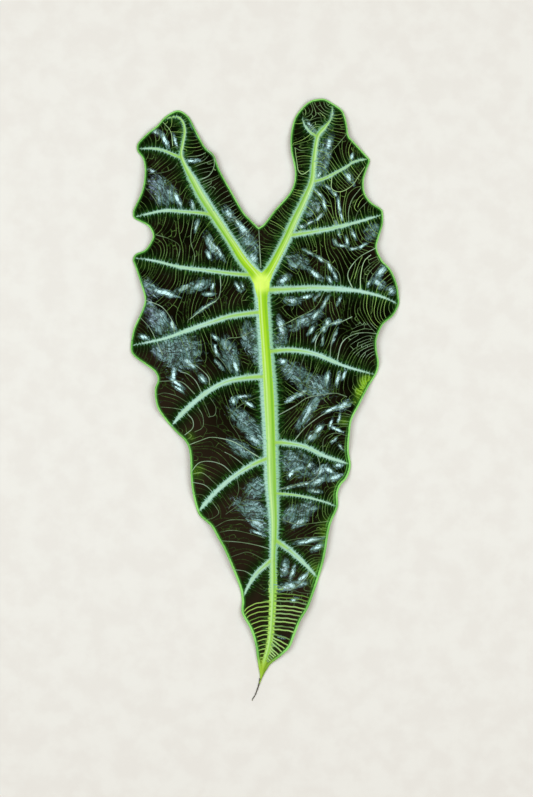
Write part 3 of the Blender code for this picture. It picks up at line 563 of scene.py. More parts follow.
@dataclass
class VeinNet:
    """The net of veins between the ribs, traced over the flat plan.

    Fine veins leave a rib at right angles, keep square to the ribs that they pass between, lean out
    towards the edge, and stop where they meet another vein.
    """

    form: LeafForm
    step: float = 0.8
    pitch: float = 1.65
    pitch_jitter: float = 0.3
    core_share: float = 0.55
    steps: int = 42
    steadiness: float = 0.55
    edge_pull: float = 1.1
    edge_clear: float = 1.7
    touch: float = 0.62
    crowd: float = 0.95
    lined_up: float = 0.75
    shortest: int = 2
    gap_share: float = 0.75
    heart_clear: float = 6.5
    gap_clear: Pair = (1.8, 0.5)
    gap_jitter: float = 0.5
    seed_sink: float = 0.05
    core_sink: float = 0.1
    cell: float = 1.5
    same_spot: float = 0.3
    low_vigour: float = 0.5
    rung_vigour: float = 1.3
    dull_side: Pair = (-0.8, -0.55)
    dull_from: float = 18.0
    bright_side: Pair = (0.6, 0.8)
    bright_from: float = 72.0
    bright_vigour: float = 0.35
    right_rungs: tuple[float, float, int] = (-94.5, -116.8, 12)
    tip_rungs: tuple[float, float, int] = (-118.4, -131.5, 11)
    left_rungs: tuple[float, float, int] = (-101.0, -131.0, 14)
    rung_top: float = -95.0
    rung_thick: float = -100.0
    rung_clear: float = 1.1
    rung_falls: Pair = (62.0, 24.0)
    rung_turn: Pair = (114.0, 122.0)
    rung_drop: float = 46.0
    rung_jitter: float = 0.12
    rung_spread: Pair = (0.78, 1.04)
    rung_start: float = 0.9
    rung_step: float = 0.7
    rung_steps: int = 40
    rung_edge_spots: int = 40
    rung_sway: float = 6.0
    waver: float = 0.14
    tie_step: float = 0.45
    tie_steps: int = 6
    tie_chance: float = 0.008
    tie_slant: float = 0.35
    tie_right_of: float = 7.0
    draw: random.Random = field(default_factory=lambda: random.Random(SEED))
    spots: list[np.ndarray] = field(default_factory=list)
    tangents: list[np.ndarray] = field(default_factory=list)
    runs: list[VeinRun] = field(default_factory=list)
    cells: dict[tuple[int, int], list[int]] = field(default_factory=dict)

    def trace(self) -> None:
        """Lay down the strong veins, the rungs, the veins off the ribs, and then those in the gaps."""
        for paths, rank in ((STRONG_VEINS, VeinRank.STRONG), (MILD_VEINS, VeinRank.MILD)):
            for path in paths:
                self.grow(smooth_line(path, self.step), rank, free=3)
        right = self.rungs(self.right_rungs, RIGHT_EDGE) + self.rungs(self.tip_rungs, RIGHT_EDGE)
        for path in right:
            rank = VeinRank.RUNG if path[0][1] < self.rung_thick else VeinRank.THIN_RUNG
            self.grow(smooth_line(path, self.step), rank, free=3)
        for path in self.rungs(self.left_rungs, LEFT_EDGE[::-1]):
            self.grow(smooth_line(path, self.step), VeinRank.THIN_RUNG, free=3)
        paths = self.march(*self.rib_seeds())
        order = list(range(len(paths)))
        self.draw.shuffle(order)
        for index in order:
            self.grow(paths[index], VeinRank.FINE, free=2)
        seeds, headings = self.gap_seeds()
        forward = self.march(seeds, headings)
        backward = self.march(seeds, -headings)
        for ahead, behind in zip(forward, backward):
            if self.in_gap(ahead[0]):
                self.grow(ahead, VeinRank.FINE, free=0)
                self.grow(behind, VeinRank.FINE, free=2)
        self.tie_up()

    def tie_up(self) -> None:
        """Join neighbouring veins with short ones, above all where the leaf is netted."""
        for index in range(len(self.spots)):
            x, y = self.spots[index]
            if self.draw.random() < self.netted(x, y)[0] and (y > self.rung_top or x > self.tie_right_of):
                ahead = self.tangents[index]
                side = np.array([-ahead[1], ahead[0]]) * self.draw.choice((-1.0, 1.0))
                side = side + self.tie_slant * ahead * self.draw.uniform(-1.0, 1.0)
                reach = np.arange(self.tie_steps)[:, None] * self.tie_step
                self.grow(self.spots[index] + side * reach, VeinRank.FINE, free=2)

    def netted(self, x: float, y: float) -> Pair:
        """How likely a fine vein's point at a spot is tied to a neighbour, and how pale the vein is."""
        for column, row, wide, high, chance, pallor in NETTED:
            if ((x - column) / wide) ** 2 + ((y - row) / high) ** 2 < 1:
                return chance, pallor
        return self.tie_chance, VeinRank.FINE.pallor

    def rungs(self, levels: tuple[float, float, int], edge: Path) -> list[Path]:
        """The veins across the blade towards its tip, from the midrib to one edge.

        Args:
            levels: where the first and the last leave the midrib, and how many there are.
            edge: the edge that they run to, from the tip upwards.

        Returns:
            Their paths.
        """
        midrib = self.form.main_lines[0][::-1]
        side = np.array(edge[:self.rung_edge_spots])
        lines = []
        gap_between = (levels[0] - levels[1]) / (levels[2] - 1)
        for y in np.linspace(*levels):
            middle = float(np.interp(y, midrib[:, 1], midrib[:, 0]))
            level = y + self.draw.uniform(-self.rung_jitter, self.rung_jitter) * gap_between
            reach = float(np.interp(level, side[:, 1], side[:, 0])) - middle
            way = math.copysign(1.0, reach)
            drop = float(smooth_step(-level, *self.rung_turn)) * self.rung_drop if reach > 0 else 0.0
            fall = self.rung_falls[reach > 0]
            line = [np.array([middle + self.rung_start * way, level])]
            for count in range(self.rung_steps):
                share = min(1.0, abs(line[-1][0] - middle) / abs(reach))
                turn = math.radians(-drop * (1 - 0.4 * share) - fall * share ** 2
                                    + self.rung_sway * math.sin(0.9 * count + 2.3 * y))
                line.append(line[-1] + self.rung_step * np.array([way * math.cos(turn), math.sin(turn)]))
            gap = nearest_on(self.form.edge_ring, np.array(line)).distance
            stop = int(np.argmax(gap < self.rung_clear))
            if stop > 1:
                lines.append([tuple(spot) for spot in line[:stop]])
        return lines

    def pitch_at(self, spot: np.ndarray) -> float:
        """How far apart fine veins lie at a spot."""
        for left, right, low, high, pitch in PITCHES:
            if left < spot[0] < right and low < spot[1] < high:
                return pitch
        return self.pitch

    def ribs(self) -> list[tuple[Rib, np.ndarray]]:
        """Every rib with its centre line."""
        return list(zip(MAIN_RIBS + SIDE_RIBS, self.form.main_lines + self.form.side_lines))

    def in_gap(self, spot: np.ndarray) -> bool:
        """True where the net has room for one more vein."""
        pitch = self.pitch_at(spot)
        return self.nearest(spot, pitch)[0] > self.gap_share * pitch

    def rib_seeds(self) -> tuple[np.ndarray, np.ndarray]:
        """Places on both flanks of every rib from which fine veins leave, and their headings."""
        starts = []
        headings = []
        for rib, line in self.ribs():
            legs = np.diff(line, axis=0)
            run = np.concatenate([[0.0], np.cumsum(np.hypot(*legs.T))])
            for side in (1.0, -1.0):
                at = self.draw.uniform(0.3, self.pitch)
                while at < run[-1]:
                    index = int(np.searchsorted(run, at)) - 1
                    ahead = legs[index] / np.hypot(*legs[index])
                    spot = line[index] + ahead * (at - run[index])
                    normal = np.array([-ahead[1], ahead[0]]) * side
                    half = float(rib.band_at(np.array([at / run[-1]]))[0])
                    if spot[1] > self.rung_top + 1.0:
                        starts.append(spot + normal * half * self.core_share)
                        headings.append(normal)
                    at += self.pitch_at(spot) * (1 + self.draw.uniform(-self.pitch_jitter, self.pitch_jitter))
        places = np.array(starts)
        room = self.lean(places, np.array(headings))[1]
        clear = (room > -self.seed_sink) & (self.form.off_heart(places) > self.heart_clear)
        return places[clear], np.array(headings)[clear]

    def gap_seeds(self) -> tuple[np.ndarray, np.ndarray]:
        """Places in the gaps that the net still has, with headings away from the nearest rib."""
        low, high = self.form.edge.min(0), self.form.edge.max(0)
        shift, draw = self.gap_jitter, self.draw
        spots = np.array([(x + draw.uniform(-shift, shift), y + draw.uniform(-shift, shift))
                          for y in np.arange(self.rung_top, high[1], self.pitch)
                          for x in np.arange(low[0], high[0], self.pitch)])
        spots = spots[self.form.inside(spots)]
        found = self.form.survey(spots)
        edge_clear, rib_clear = self.gap_clear
        clear = (found.to_edge > edge_clear) & (found.main_gap > rib_clear) & (found.side_gap > rib_clear)
        spots = spots[clear]
        spots = spots[[self.in_gap(spot) for spot in spots]]
        return spots, self.lean(spots, np.zeros_like(spots))[0]

    def lean(self, spots: np.ndarray, heading: np.ndarray) -> tuple[np.ndarray, np.ndarray, np.ndarray]:
        """Which way a vein at each spot would run, with the room to the nearest rib core and the edge."""
        pull = np.zeros_like(spots)
        room = np.full(len(spots), np.inf)
        for rib, line in self.ribs():
            near = nearest_on(line, spots)
            away = unit(spots - near.foot)
            sign = np.where((away * heading).sum(1) < 0, -1.0, 1.0)
            pull += away * (sign / (near.distance + 1.0) ** 2)[:, None]
            room = np.minimum(room, near.distance - self.core_share * rib.band_at(near.share))
        edge = nearest_on(self.form.edge_ring, spots)
        pull += unit(edge.foot - spots) * (self.edge_pull / (edge.distance + 1.0) ** 2)[:, None]
        return unit(pull), room, edge.distance

    def march(self, starts: np.ndarray, headings: np.ndarray) -> list[np.ndarray]:
        """Run a vein from each start until it reaches a rib's core or the edge."""
        spots = starts.copy()
        heading = headings.copy()
        paths = [[spot] for spot in starts]
        going = np.arange(len(starts))
        for count in range(self.steps):
            pull, room, to_edge = self.lean(spots, heading)
            arrived = (room < -self.core_sink) & (count > 1) | (to_edge < self.edge_clear)
            keep = ~arrived
            spots, heading, going, pull = spots[keep], heading[keep], going[keep], pull[keep]
            if not len(going):
                break
            turn = self.waver * self.wander(spots)[:, None]
            pull = pull * np.cos(turn) + left_of(pull) * np.sin(turn)
            heading = unit(self.steadiness * heading + (1 - self.steadiness) * pull)
            spots = spots + self.step * heading
            for index, spot in zip(going, spots):
                paths[index].append(spot)
        return [np.array(path) for path in paths]

    @staticmethod
    def wander(spots: np.ndarray) -> np.ndarray:
        """How veins turn off their way from place to place, from -1 to 1."""
        x, y = spots.T
        return np.sin(0.42 * x + 1.6 * np.sin(0.21 * y)) + 0.5 * np.sin(0.5 * y + 1.7 * np.sin(0.23 * x))

    def cell_of(self, spot: np.ndarray) -> tuple[int, int]:
        """The cell of the net's register that a spot falls in."""
        return int(spot[0] // self.cell), int(spot[1] // self.cell)

    def nearest(self, spot: np.ndarray, reach: float = 1.5) -> tuple[float, int]:
        """Distance to the net's nearest spot that is within reach, and its number."""
        column, row = self.cell_of(spot)
        best = (math.inf, -1)
        around = math.ceil(reach / self.cell)
        cells = range(-around, around + 1)
        for cell in ((column + i, row + j) for i in cells for j in cells):
            for index in self.cells.get(cell, ()):
                other = self.spots[index]
                gap = math.hypot(other[0] - spot[0], other[1] - spot[1])
                if gap < best[0]:
                    best = (gap, index)
        return best

    def grow(self, path: np.ndarray, rank: VeinRank, free: int) -> None:
        """Add a vein along a path, up to where it meets the net.

        Args:
            path: the way it would run.
            rank: how strong it is.
            free: how many of its first spots may lie near another vein.
        """
        if len(path) <= self.shortest:
            return
        tangents = unit(np.gradient(path, axis=0))
        taken = []
        joined = -1
        for count, (spot, tangent) in enumerate(zip(path, tangents)):
            gap, index = self.nearest(spot)
            if index >= 0 and count >= free:
                alike = abs(float(tangent @ self.tangents[index]))
                if gap < self.touch or (gap < self.crowd and alike > self.lined_up):
                    joined = index
                    break
            if gap < self.same_spot:
                joined = index
                if count:
                    break
                joined = -1
                taken.append((None, index))
                continue
            taken.append((spot, -1))
        if len(taken) < self.shortest:
            return
        run = []
        for (spot, index), tangent in zip(taken, tangents):
            if index >= 0:
                run.append(index)
                continue
            run.append(len(self.spots))
            self.spots.append(np.array(spot))
            self.tangents.append(tangent)
            self.cells.setdefault(self.cell_of(spot), []).append(run[-1])
        if joined >= 0:
            run.append(joined)
        low = self.low_vigour if self.spots[run[0]] @ self.dull_side > self.dull_from else 1.0
        vigour = low * self.draw.uniform(0.0, 1.0)
        if self.spots[run[0]] @ self.bright_side > self.bright_from:
            vigour += self.bright_vigour
        if rank in (VeinRank.RUNG, VeinRank.THIN_RUNG):
            vigour = self.rung_vigour * self.draw.uniform(*self.rung_spread)
        self.runs.append(VeinRun(run, rank, vigour))


class Signal:
    """A number in a material, wrapped so that sums written on it add Math nodes."""

    def __init__(self, graph: "Graph", socket: bpy.types.NodeSocket) -> None:
        """Wrap one output socket of the graph."""
        self.graph = graph
        self.socket = socket

    def _math(self, operation: str, first: "Term", second: "Term") -> "Signal":
        """Add one Math node."""
        return self.graph.node("ShaderNodeMath", {"operation": operation}, {0: first, 1: second}).out()

    def __add__(self, other: "Term") -> "Signal":
        """Self plus other."""
        return self._math("ADD", self, other)

    __radd__ = __add__

    def __sub__(self, other: "Term") -> "Signal":
        """Self less other."""
        return self._math("SUBTRACT", self, other)

    def __rsub__(self, other: "Term") -> "Signal":
        """Other less self."""
        return self._math("SUBTRACT", other, self)

    def __mul__(self, other: "Term") -> "Signal":
        """Self times other."""
        return self._math("MULTIPLY", self, other)

    __rmul__ = __mul__

    def at_least(self, other: "Term") -> "Signal":
        """The larger of the two."""
        return self._math("MAXIMUM", self, other)

    def at_most(self, other: "Term") -> "Signal":
        """The smaller of the two."""
        return self._math("MINIMUM", self, other)

    def size(self) -> "Signal":
        """The value without its sign."""
        return self.graph.node("ShaderNodeMath", {"operation": "ABSOLUTE"}, {0: self}).out()

    def ease(self, low: "Term", high: "Term") -> "Signal":
        """Ease from 0 at low to 1 at high, or the other way round where low is the larger."""
        settings = {"interpolation_type": "SMOOTHSTEP"}
        return self.graph.node("ShaderNodeMapRange", settings,
                               {"Value": self, "From Min": low, "From Max": high}).out()


Term = Union[Signal, float]


class Shade:
    """A colour in a material."""

    def __init__(self, graph: "Graph", socket: bpy.types.NodeSocket) -> None:
        """Wrap one output socket of the graph."""
        self.graph = graph
        self.socket = socket

    def mixed(self, other: Union["Shade", Colour], factor: Term) -> "Shade":
        """This colour mixed with another, by a factor from 0 to 1."""
        return self.graph.mix(self, other, factor)


class Placed:
    """A node that has been added, with its outputs at hand."""

    def __init__(self, graph: "Graph", node: bpy.types.Node) -> None:
        """Wrap a node of the graph."""
        self.graph = graph
        self.node = node

    def socket(self, name: Union[str, int]) -> bpy.types.NodeSocket:
        """The enabled output of that name or number."""
        if isinstance(name, int):
            return self.node.outputs[name]
        return next(socket for socket in self.node.outputs if socket.name == name and socket.enabled)

    def out(self, index: int = 0) -> Signal:
        """An output as a number."""
        return Signal(self.graph, self.socket(index))


class Graph:
    """A material's nodes, added one at a time."""

    def __init__(self, name: str) -> None:
        """Start a material with only its output."""
        self.material = bpy.data.materials.new(name)
        self.material.use_nodes = True
        self.tree = self.material.node_tree
        self.tree.nodes.clear()
        self.output = self.tree.nodes.new("ShaderNodeOutputMaterial")

    def node(self, kind: str, settings: Optional[dict[str, Any]] = None,
             values: Optional[dict[Union[str, int], Any]] = None) -> Placed:
        """Add a node.

        Args:
            kind: its type.
            settings: its own properties, which are set first.
            values: values or links of its inputs, by name or number.

        Returns:
            The node.
        """
        node = self.tree.nodes.new(kind)
        for name, value in (settings or {}).items():
            setattr(node, name, value)
        for name, value in (values or {}).items():
            if isinstance(name, int):
                socket = node.inputs[name]
            else:
                socket = next(item for item in node.inputs if item.name == name and item.enabled)
            if isinstance(value, (Signal, Shade)):
                self.tree.links.new(value.socket, socket)
            elif isinstance(value, bpy.types.NodeSocket):
                self.tree.links.new(value, socket)
            elif socket.type == "RGBA":
                socket.default_value = (*value, 1.0)
            else:
                socket.default_value = value
        return Placed(self, node)

    def place(self) -> bpy.types.NodeSocket:
        """The spot on the piece, in millimetres."""
        spot = self.node("ShaderNodeTexCoord").socket("Object")
        scaled = self.node("ShaderNodeVectorMath", {"operation": "SCALE"}, {0: spot, "Scale": 1 / MM})
        return scaled.socket("Vector")

    def marks(self, name: str) -> tuple[Signal, Signal, Signal]:
        """The three numbers of one of the mesh's attributes."""
        return self.parts(self.node("ShaderNodeAttribute", {"attribute_name": name}).socket("Vector"))

    def parts(self, vector: bpy.types.NodeSocket) -> tuple[Signal, Signal, Signal]:
        """A vector's three numbers."""
        split = self.node("ShaderNodeSeparateXYZ", {}, {0: vector})
        return split.out(0), split.out(1), split.out(2)

    def join(self, x: Term, y: Term, z: Term = 0.0) -> bpy.types.NodeSocket:
        """A vector of three numbers."""
        return self.node("ShaderNodeCombineXYZ", {}, {"X": x, "Y": y, "Z": z}).socket("Vector")

    def noise(self, spot: bpy.types.NodeSocket, per_mm: float, detail: float = 3.0,
              roughness: float = 0.55) -> Signal:
        """Smooth noise from 0 to 1, with about per_mm waves to the millimetre."""
        return self.node("ShaderNodeTexNoise", {"noise_dimensions": "3D"},
                         {"Vector": spot, "Scale": per_mm, "Detail": detail, "Roughness": roughness}).out(0)

    def mix(self, first: Union[Shade, Colour], second: Union[Shade, Colour], factor: Term) -> Shade:
        """Two colours mixed by a factor from 0 to 1."""
        node = self.node("ShaderNodeMix", {"data_type": "RGBA"}, {"Factor": factor, "A": first, "B": second})
        return Shade(self, node.socket("Result"))

    def colour(self, value: Colour) -> Shade:
        """A plain colour to mix others into."""
        return self.mix(value, value, 0.0)

    def bump(self, height: Signal, depth: float) -> bpy.types.NodeSocket:
        """A normal roughened by a height, with 1 standing depth millimetres high."""
        node = self.node("ShaderNodeBump", {}, {"Strength": 1.0, "Distance": depth * MM, "Height": height})
        return node.socket("Normal")

    def finish(self, **values: Any) -> bpy.types.Material:
        """Close the graph with a Principled shader; an input's spaces are written as underscores."""
        named = {name.replace("_", " "): value for name, value in values.items()}
        shader = self.node("ShaderNodeBsdfPrincipled", {}, named)
        self.tree.links.new(shader.socket("BSDF"), self.output.inputs["Surface"])
        return self.material


def srgb(red: int, green: int, blue: int) -> Colour:
    """A colour from its 0 to 255 screen values."""
    def light(value: int) -> float:
        share = value / 255
        return share / 12.92 if share <= 0.04045 else ((share + 0.055) / 1.055) ** 2.4
    return light(red), light(green), light(blue)


@dataclass(frozen=True)
class UpperSkin:
    """The dark waxy upper face, with yellow-green ribs, mint fringes, a bright rim and painted sheen on its
    shining patches.
    """

    dark: Colour = srgb(9, 8, 2)
    brown: Colour = srgb(40, 28, 18)
    # The next three colours are painted sheen: the teal-grey, violet-tinted and glaring reflection of the
    # lights on the shining patches.
    painted_sheen: Colour = srgb(97, 126, 118)
    painted_sheen_violet: Colour = srgb(112, 104, 134)
    painted_glare: Colour = srgb(162, 188, 172)
    green: Colour = srgb(11, 28, 5)
    haze: Colour = srgb(30, 66, 20)
    hair: Colour = srgb(74, 128, 48)
    rib_warm: Colour = srgb(184, 216, 36)
    rib_cool: Colour = srgb(174, 204, 98)
    rib_pale: Colour = srgb(184, 214, 146)
    rib_stripe: Colour = srgb(222, 236, 150)
    rib_line: Colour = srgb(120, 178, 40)
    rib_far: Colour = srgb(190, 220, 88)
    side_pale: Colour = srgb(194, 216, 200)
    side_line: Colour = srgb(158, 196, 84)
    heart: Colour = srgb(240, 250, 110)
    fringe: Colour = srgb(186, 212, 196)
    fringe_green: Colour = srgb(134, 176, 112)
    fringe_dim: Colour = srgb(84, 134, 96)
    rim: Colour = srgb(156, 214, 110)
    rim_dull: Colour = srgb(104, 166, 70)
    rim_inner: Colour = srgb(52, 106, 34)
    blotch: Colour = srgb(158, 198, 38)
    glow: Colour = srgb(46, 82, 20)
    tip: Colour = srgb(172, 192, 48)
    tip_dark: Colour = srgb(70, 96, 24)
    vein: Colour = srgb(84, 120, 40)
    gloss: float = 0.4
    specular: float = 0.0
    coat_gloss: float = 0.22
    coat_index: float = 2.6

    def material(self) -> bpy.types.Material:
        """Build the material."""
        graph = Graph("upper_skin")
        spot = graph.place()
        main_gap, main_share, across = graph.marks("main_rib")
        side_gap, side_share, side_half = graph.marks("side_rib")
        vein_gap, edge_gap, blotch = graph.marks("net")
        main_half, tip, heart = graph.marks("form")
        shine, along, athwart = graph.marks("shine")
        grain = graph.noise(spot, 1.3)
        slow = graph.noise(spot, 0.06, 2.0)
        fine = graph.noise(spot, 4.0, 2.0)

        main_hair = graph.noise(graph.join(main_share * 240.0, main_gap * 0.2), 1.0, 3.0)
        side_hair = graph.noise(graph.join(side_share * 70.0, side_gap * 0.2, 7.0), 1.0, 3.0)
        tooth = vein_gap.ease(0.4, 0.05) * grain.ease(0.25, 0.75) * 1.2
        ragged = (grain - 0.5) * 0.9
        main_tooth = tooth.at_least(main_hair.ease(0.48, 0.72) * 1.4)
        side_tooth = (tooth * 0.8).at_least(side_hair.ease(0.48, 0.72) * 1.1)
        main_fringe = (main_gap - main_tooth + ragged + 0.4 - heart * 1.5).ease(0.6, -0.7)
        side_fringe = (side_gap - side_tooth + ragged + 0.65).ease(0.4, -0.5)
        near_rib = main_gap.at_most(side_gap + 0.5)

        x, y = graph.parts(spot)[:2]
        low_left = (x * -0.75 + y * -0.66).ease(5.0, 50.0)
        bend = graph.noise(spot, 0.11, 1.0) * 9.0 + graph.noise(spot, 0.5, 3.0) * 3.5
        streak = graph.noise(graph.join(along * 0.16, (athwart + bend) * 0.85), 1.0, 4.0, 0.65)
        crinkle = graph.noise(graph.join(along * 0.6, (athwart + bend) * 1.8), 1.0, 3.0, 0.6)
        # The shining patches, which take both the real coat and the painted sheen.
        patch = (shine + (streak - 0.5) * 1.5).ease(0.22, 0.72)

        colour = graph.colour(self.dark).mixed(self.brown, slow.ease(0.4, 0.7) * 0.5 + low_left)
        dark_tip = y.ease(-92.0, -102.0)
        colour = colour.mixed(self.green, near_rib.ease(7.0, 0.5) * (0.85 - dark_tip * 0.5))
        hazy = near_rib.ease(2.2, 0.0) * grain.ease(0.3, 0.7)
        colour = colour.mixed(self.haze, hazy * (0.8 - dark_tip * 0.7))
        fuzz = graph.noise(spot, 1.0, 4.0, 0.7)
        clump = graph.noise(graph.join(along * 0.28, (athwart + bend) * 0.4), 1.0, 3.0, 0.6)
        lift = shine.at_least(1.0) * 0.25 - 0.25
        # How much painted sheen each spot of a shining patch takes.
        body = (streak * 0.65 + fuzz * 0.35 + lift).ease(0.38, 0.56)
        body = body * (0.1 + (clump + lift).ease(0.36, 0.54))
        # Painted sheen: the lights' reflection painted into the base colour over the shining patches, tinted
        # violet on the left and whitened to a painted glare on narrow patches, on top of the real coat.
        painted_sheen_tone = graph.colour(self.painted_sheen).mixed(self.painted_sheen_violet, x.ease(-50.0, -60.0) * slow.ease(0.4, 0.6) * 0.8)
        painted_sheen_tone = painted_sheen_tone.mixed(self.painted_glare, lift.ease(0.0, 0.18) * 0.8)
        colour = colour.mixed(painted_sheen_tone, patch * body * vein_gap.ease(-0.1, 0.25))
        hairs = (main_hair.ease(0.5, 0.68) * main_gap.ease(3.6, 0.4)).at_least(
            side_hair.ease(0.5, 0.68) * side_gap.ease(2.6, 0.3))
        colour = colour.mixed(self.hair, hairs * 0.8)
        streaky = vein_gap.ease(0.7, 0.1) * 0.6 + grain.ease(0.45, 0.62) * slow.ease(0.35, 0.5) * 0.55
        yellow = blotch.ease(0.28, 0.9) * streaky * edge_gap.ease(9.0, 3.0)
        glowing = blotch.ease(0.1, 0.6) * edge_gap.ease(10.0, 2.0)
        colour = colour.mixed(self.glow, glowing * (0.2 + slow * 0.9))
        colour = colour.mixed(self.blotch, yellow.at_most(1.0))
        colour = colour.mixed(self.vein, vein_gap.ease(0.3, 0.1) * grain.ease(0.4, 0.8) * 0.5)

        green_side = across.ease(0.2, 1.0) * main_gap.ease(2.0, 1.0) * 0.5
        fringe = graph.colour(self.fringe).mixed(self.fringe_green, fine.ease(0.35, 0.7) * 0.5 + green_side)
        fringe = fringe.mixed(self.fringe_dim, main_gap.at_most(side_gap).ease(-1.0, 0.5) * 0.7)
        far = y.ease(-76.0, -98.0) * main_gap.ease(2.5, 0.5)
        fringe = fringe.mixed(self.rib_far, far * 0.9)
        ribs = main_fringe.at_least(side_fringe)
        colour = colour.mixed(fringe, ribs)
        side_core = graph.colour(self.side_pale).mixed(self.rib_cool, side_share.ease(0.45, 0.0))
        mottled = (slow.ease(0.42, 0.6) * 0.5 + y.ease(60.0, 110.0) * 0.5) * fine.ease(0.3, 0.7)
        side_core = side_core.mixed(self.side_line, mottled)
        side_middle = (side_gap + side_half).ease(0.5, 0.15)
        side_core = side_core.mixed(self.side_line, side_middle * side_share.ease(0.75, 0.2) * 0.8)
        side_room = side_gap + side_half * (0.5 + grain * 0.25)
        colour = colour.mixed(side_core, side_room.ease(0.35, -0.3))
        core = graph.colour(self.rib_pale).mixed(self.rib_cool, across.ease(-0.35, 0.3))
        core = core.mixed(self.rib_warm, main_share.ease(0.55, 0.08) * main_half.ease(2.2, 3.4))
        lines = graph.noise(graph.join(across * 4.0, main_share * 5.0), 1.0, 2.0)
        core = core.mixed(self.rib_line, lines.ease(0.55, 0.35) * 0.45)
        core = core.mixed(self.rib_line, across.ease(0.1, 0.3) * across.ease(0.6, 0.35) * 0.6)
        stripe = (across + 0.22).size().ease(0.16, 0.03)
        stripe = stripe.at_least((across + 0.52).size().ease(0.12, 0.03) * main_share.ease(0.5, 0.2) * 0.6)
        core = core.mixed(self.rib_stripe, stripe * (0.3 + grain * 0.7))
        core = core.mixed(self.rib_far, dark_tip * across.size().ease(0.1, 0.6) * 0.7)
        core_room = main_gap + main_half * (0.4 + grain * 0.1 - far * 0.28) - heart * 2.6
        core_mask = core_room.ease(0.35, -0.4)
        colour = colour.mixed(core, core_mask)
        colour = colour.mixed(self.heart, heart.ease(0.1, 0.8) * core_mask * 0.85)

        rim_room = edge_gap + (grain - 0.5) * 0.6 - y.ease(60.0, -110.0) * 0.4 + 0.1
        colour = colour.mixed(self.rim_inner, rim_room.ease(1.9, 1.0) * 0.7)
        rim = graph.colour(self.rim).mixed(self.rim_dull, slow.ease(0.58, 0.42) * 0.6)
        colour = colour.mixed(rim, rim_room.ease(1.0, 0.6))
        doubled = rim_room.ease(2.2, 1.9) * rim_room.ease(1.4, 1.7) * slow.ease(0.42, 0.56)
        colour = colour.mixed(self.rim_dull, doubled * x.ease(16.0, 26.0) * y.ease(-10.0, -26.0) * 0.7)
        colour = colour.mixed(self.tip, tip.ease(0.0, 0.6) * (0.6 + grain * 0.5))
        colour = colour.mixed(self.tip_dark, tip * across.ease(0.1, 0.8) * grain.ease(0.2, 0.5) * 0.8)

        roughness = self.gloss + (fine - 0.5) * 0.1 + ribs * 0.12
        glint = (streak * 0.7 + fuzz * 0.3 + lift).ease(0.47, 0.62)
        glint = glint * (0.35 + (crinkle + lift).ease(0.42, 0.6) * 0.65)
        glint = glint * (0.52 + lift * 1.3) * (clump + lift).ease(0.38, 0.52)
        coat = patch * (0.04 + glint) * (1.0 - ribs * 0.8) * edge_gap.ease(0.8, 2.0)
        height = grain * 0.4 + streak * shine * 0.8
        return graph.finish(Base_Color=colour, Roughness=roughness, Normal=graph.bump(height, 0.09),
                            Specular_IOR_Level=self.specular, Coat_Weight=coat,
                            Coat_Roughness=self.coat_gloss, Coat_IOR=self.coat_index)


@dataclass(frozen=True)
class LowerSkin:
    """The matt underside: maroon blade, pale green ribs, and the cut face of the stalk."""

    blade: Colour = srgb(72, 30, 42)
    blade_green: Colour = srgb(52, 62, 34)
    rib: Colour = srgb(158, 190, 104)
    rim: Colour = srgb(104, 150, 60)
    cut: Colour = srgb(196, 204, 150)
    cut_dry: Colour = srgb(140, 122, 84)
    roughness: float = 0.55

    def material(self) -> bpy.types.Material:
        """Build the material."""
        graph = Graph("lower_skin")
        spot = graph.place()
        main_gap = graph.marks("main_rib")[0]
        side_gap = graph.marks("side_rib")[0]
        vein_gap, edge_gap, _ = graph.marks("net")
        grain = graph.noise(spot, 1.1)
        slow = graph.noise(spot, 0.07, 2.0)
        colour = graph.colour(self.blade).mixed(self.blade_green, slow.ease(0.4, 0.65) * 0.7)
        colour = colour.mixed(self.rib, vein_gap.ease(0.5, 0.1) * 0.35)
        rib = (main_gap + (grain - 0.5) * 0.6).ease(0.2, -0.6)
        rib = rib.at_least((side_gap + (grain - 0.5) * 0.5).ease(0.2, -0.5))
        colour = colour.mixed(self.rib, rib)
        colour = colour.mixed(self.rim, (edge_gap + (grain - 0.5) * 0.5).ease(1.3, 0.6))
        off_stalk = graph.marks("stalk")[0] + (grain - 0.5) * 0.06
        cut = graph.colour(self.cut).mixed(self.cut_dry, off_stalk.ease(0.45, 0.68))
        colour = colour.mixed(cut, off_stalk.ease(0.76, 0.7))
        height = grain * 0.6 + graph.noise(spot, 5.0, 2.0) * 0.4
        return graph.finish(Base_Color=colour, Roughness=self.roughness + (grain - 0.5) * 0.12,
                            Normal=graph.bump(height, 0.1))


@dataclass(frozen=True)
class ThreadSkin:
    """The raised veins, mint where they leave a rib and yellow-green further out."""

    name: str
    near_rib: Colour = srgb(152, 188, 166)
    pale: Colour = srgb(212, 228, 200)
    green: Colour = srgb(108, 138, 42)
    lime: Colour = srgb(166, 194, 84)
    dim: Colour = srgb(20, 25, 6)
    roughness: float = 0.45
    specular: float = 0.1

    def material(self) -> bpy.types.Material:
        """Build the material."""
        graph = Graph(self.name)
        spot = graph.place()
        rib_gap, pallor, vigour = graph.marks("vein")
        blotch = graph.marks("near_blotch")[0]
        patchy = graph.noise(spot, 0.16, 3.0)
        colour = graph.colour(self.green).mixed(self.lime, vigour.ease(1.1, 1.25).at_least(blotch * blotch))
        colour = colour.mixed(self.pale, pallor * (0.45 + patchy.ease(0.34, 0.6) * 0.45))
        close = rib_gap.ease(5.0, 0.5) * (vigour.ease(0.95, 1.05) * 0.4 - 0.12)
        faint = (patchy + vigour * 0.5 + close).ease(1.06, 0.6)
        colour = colour.mixed(self.dim, faint * (1.0 - pallor * 0.7) * (1.0 - blotch))
        colour = colour.mixed(self.near_rib, rib_gap.ease(0.7, -0.3) * vigour.ease(0.98, 0.9))
        roughness = self.roughness + (graph.noise(spot, 3.0) - 0.5) * 0.15
        return graph.finish(Base_Color=colour, Roughness=roughness, Specular_IOR_Level=self.specular)


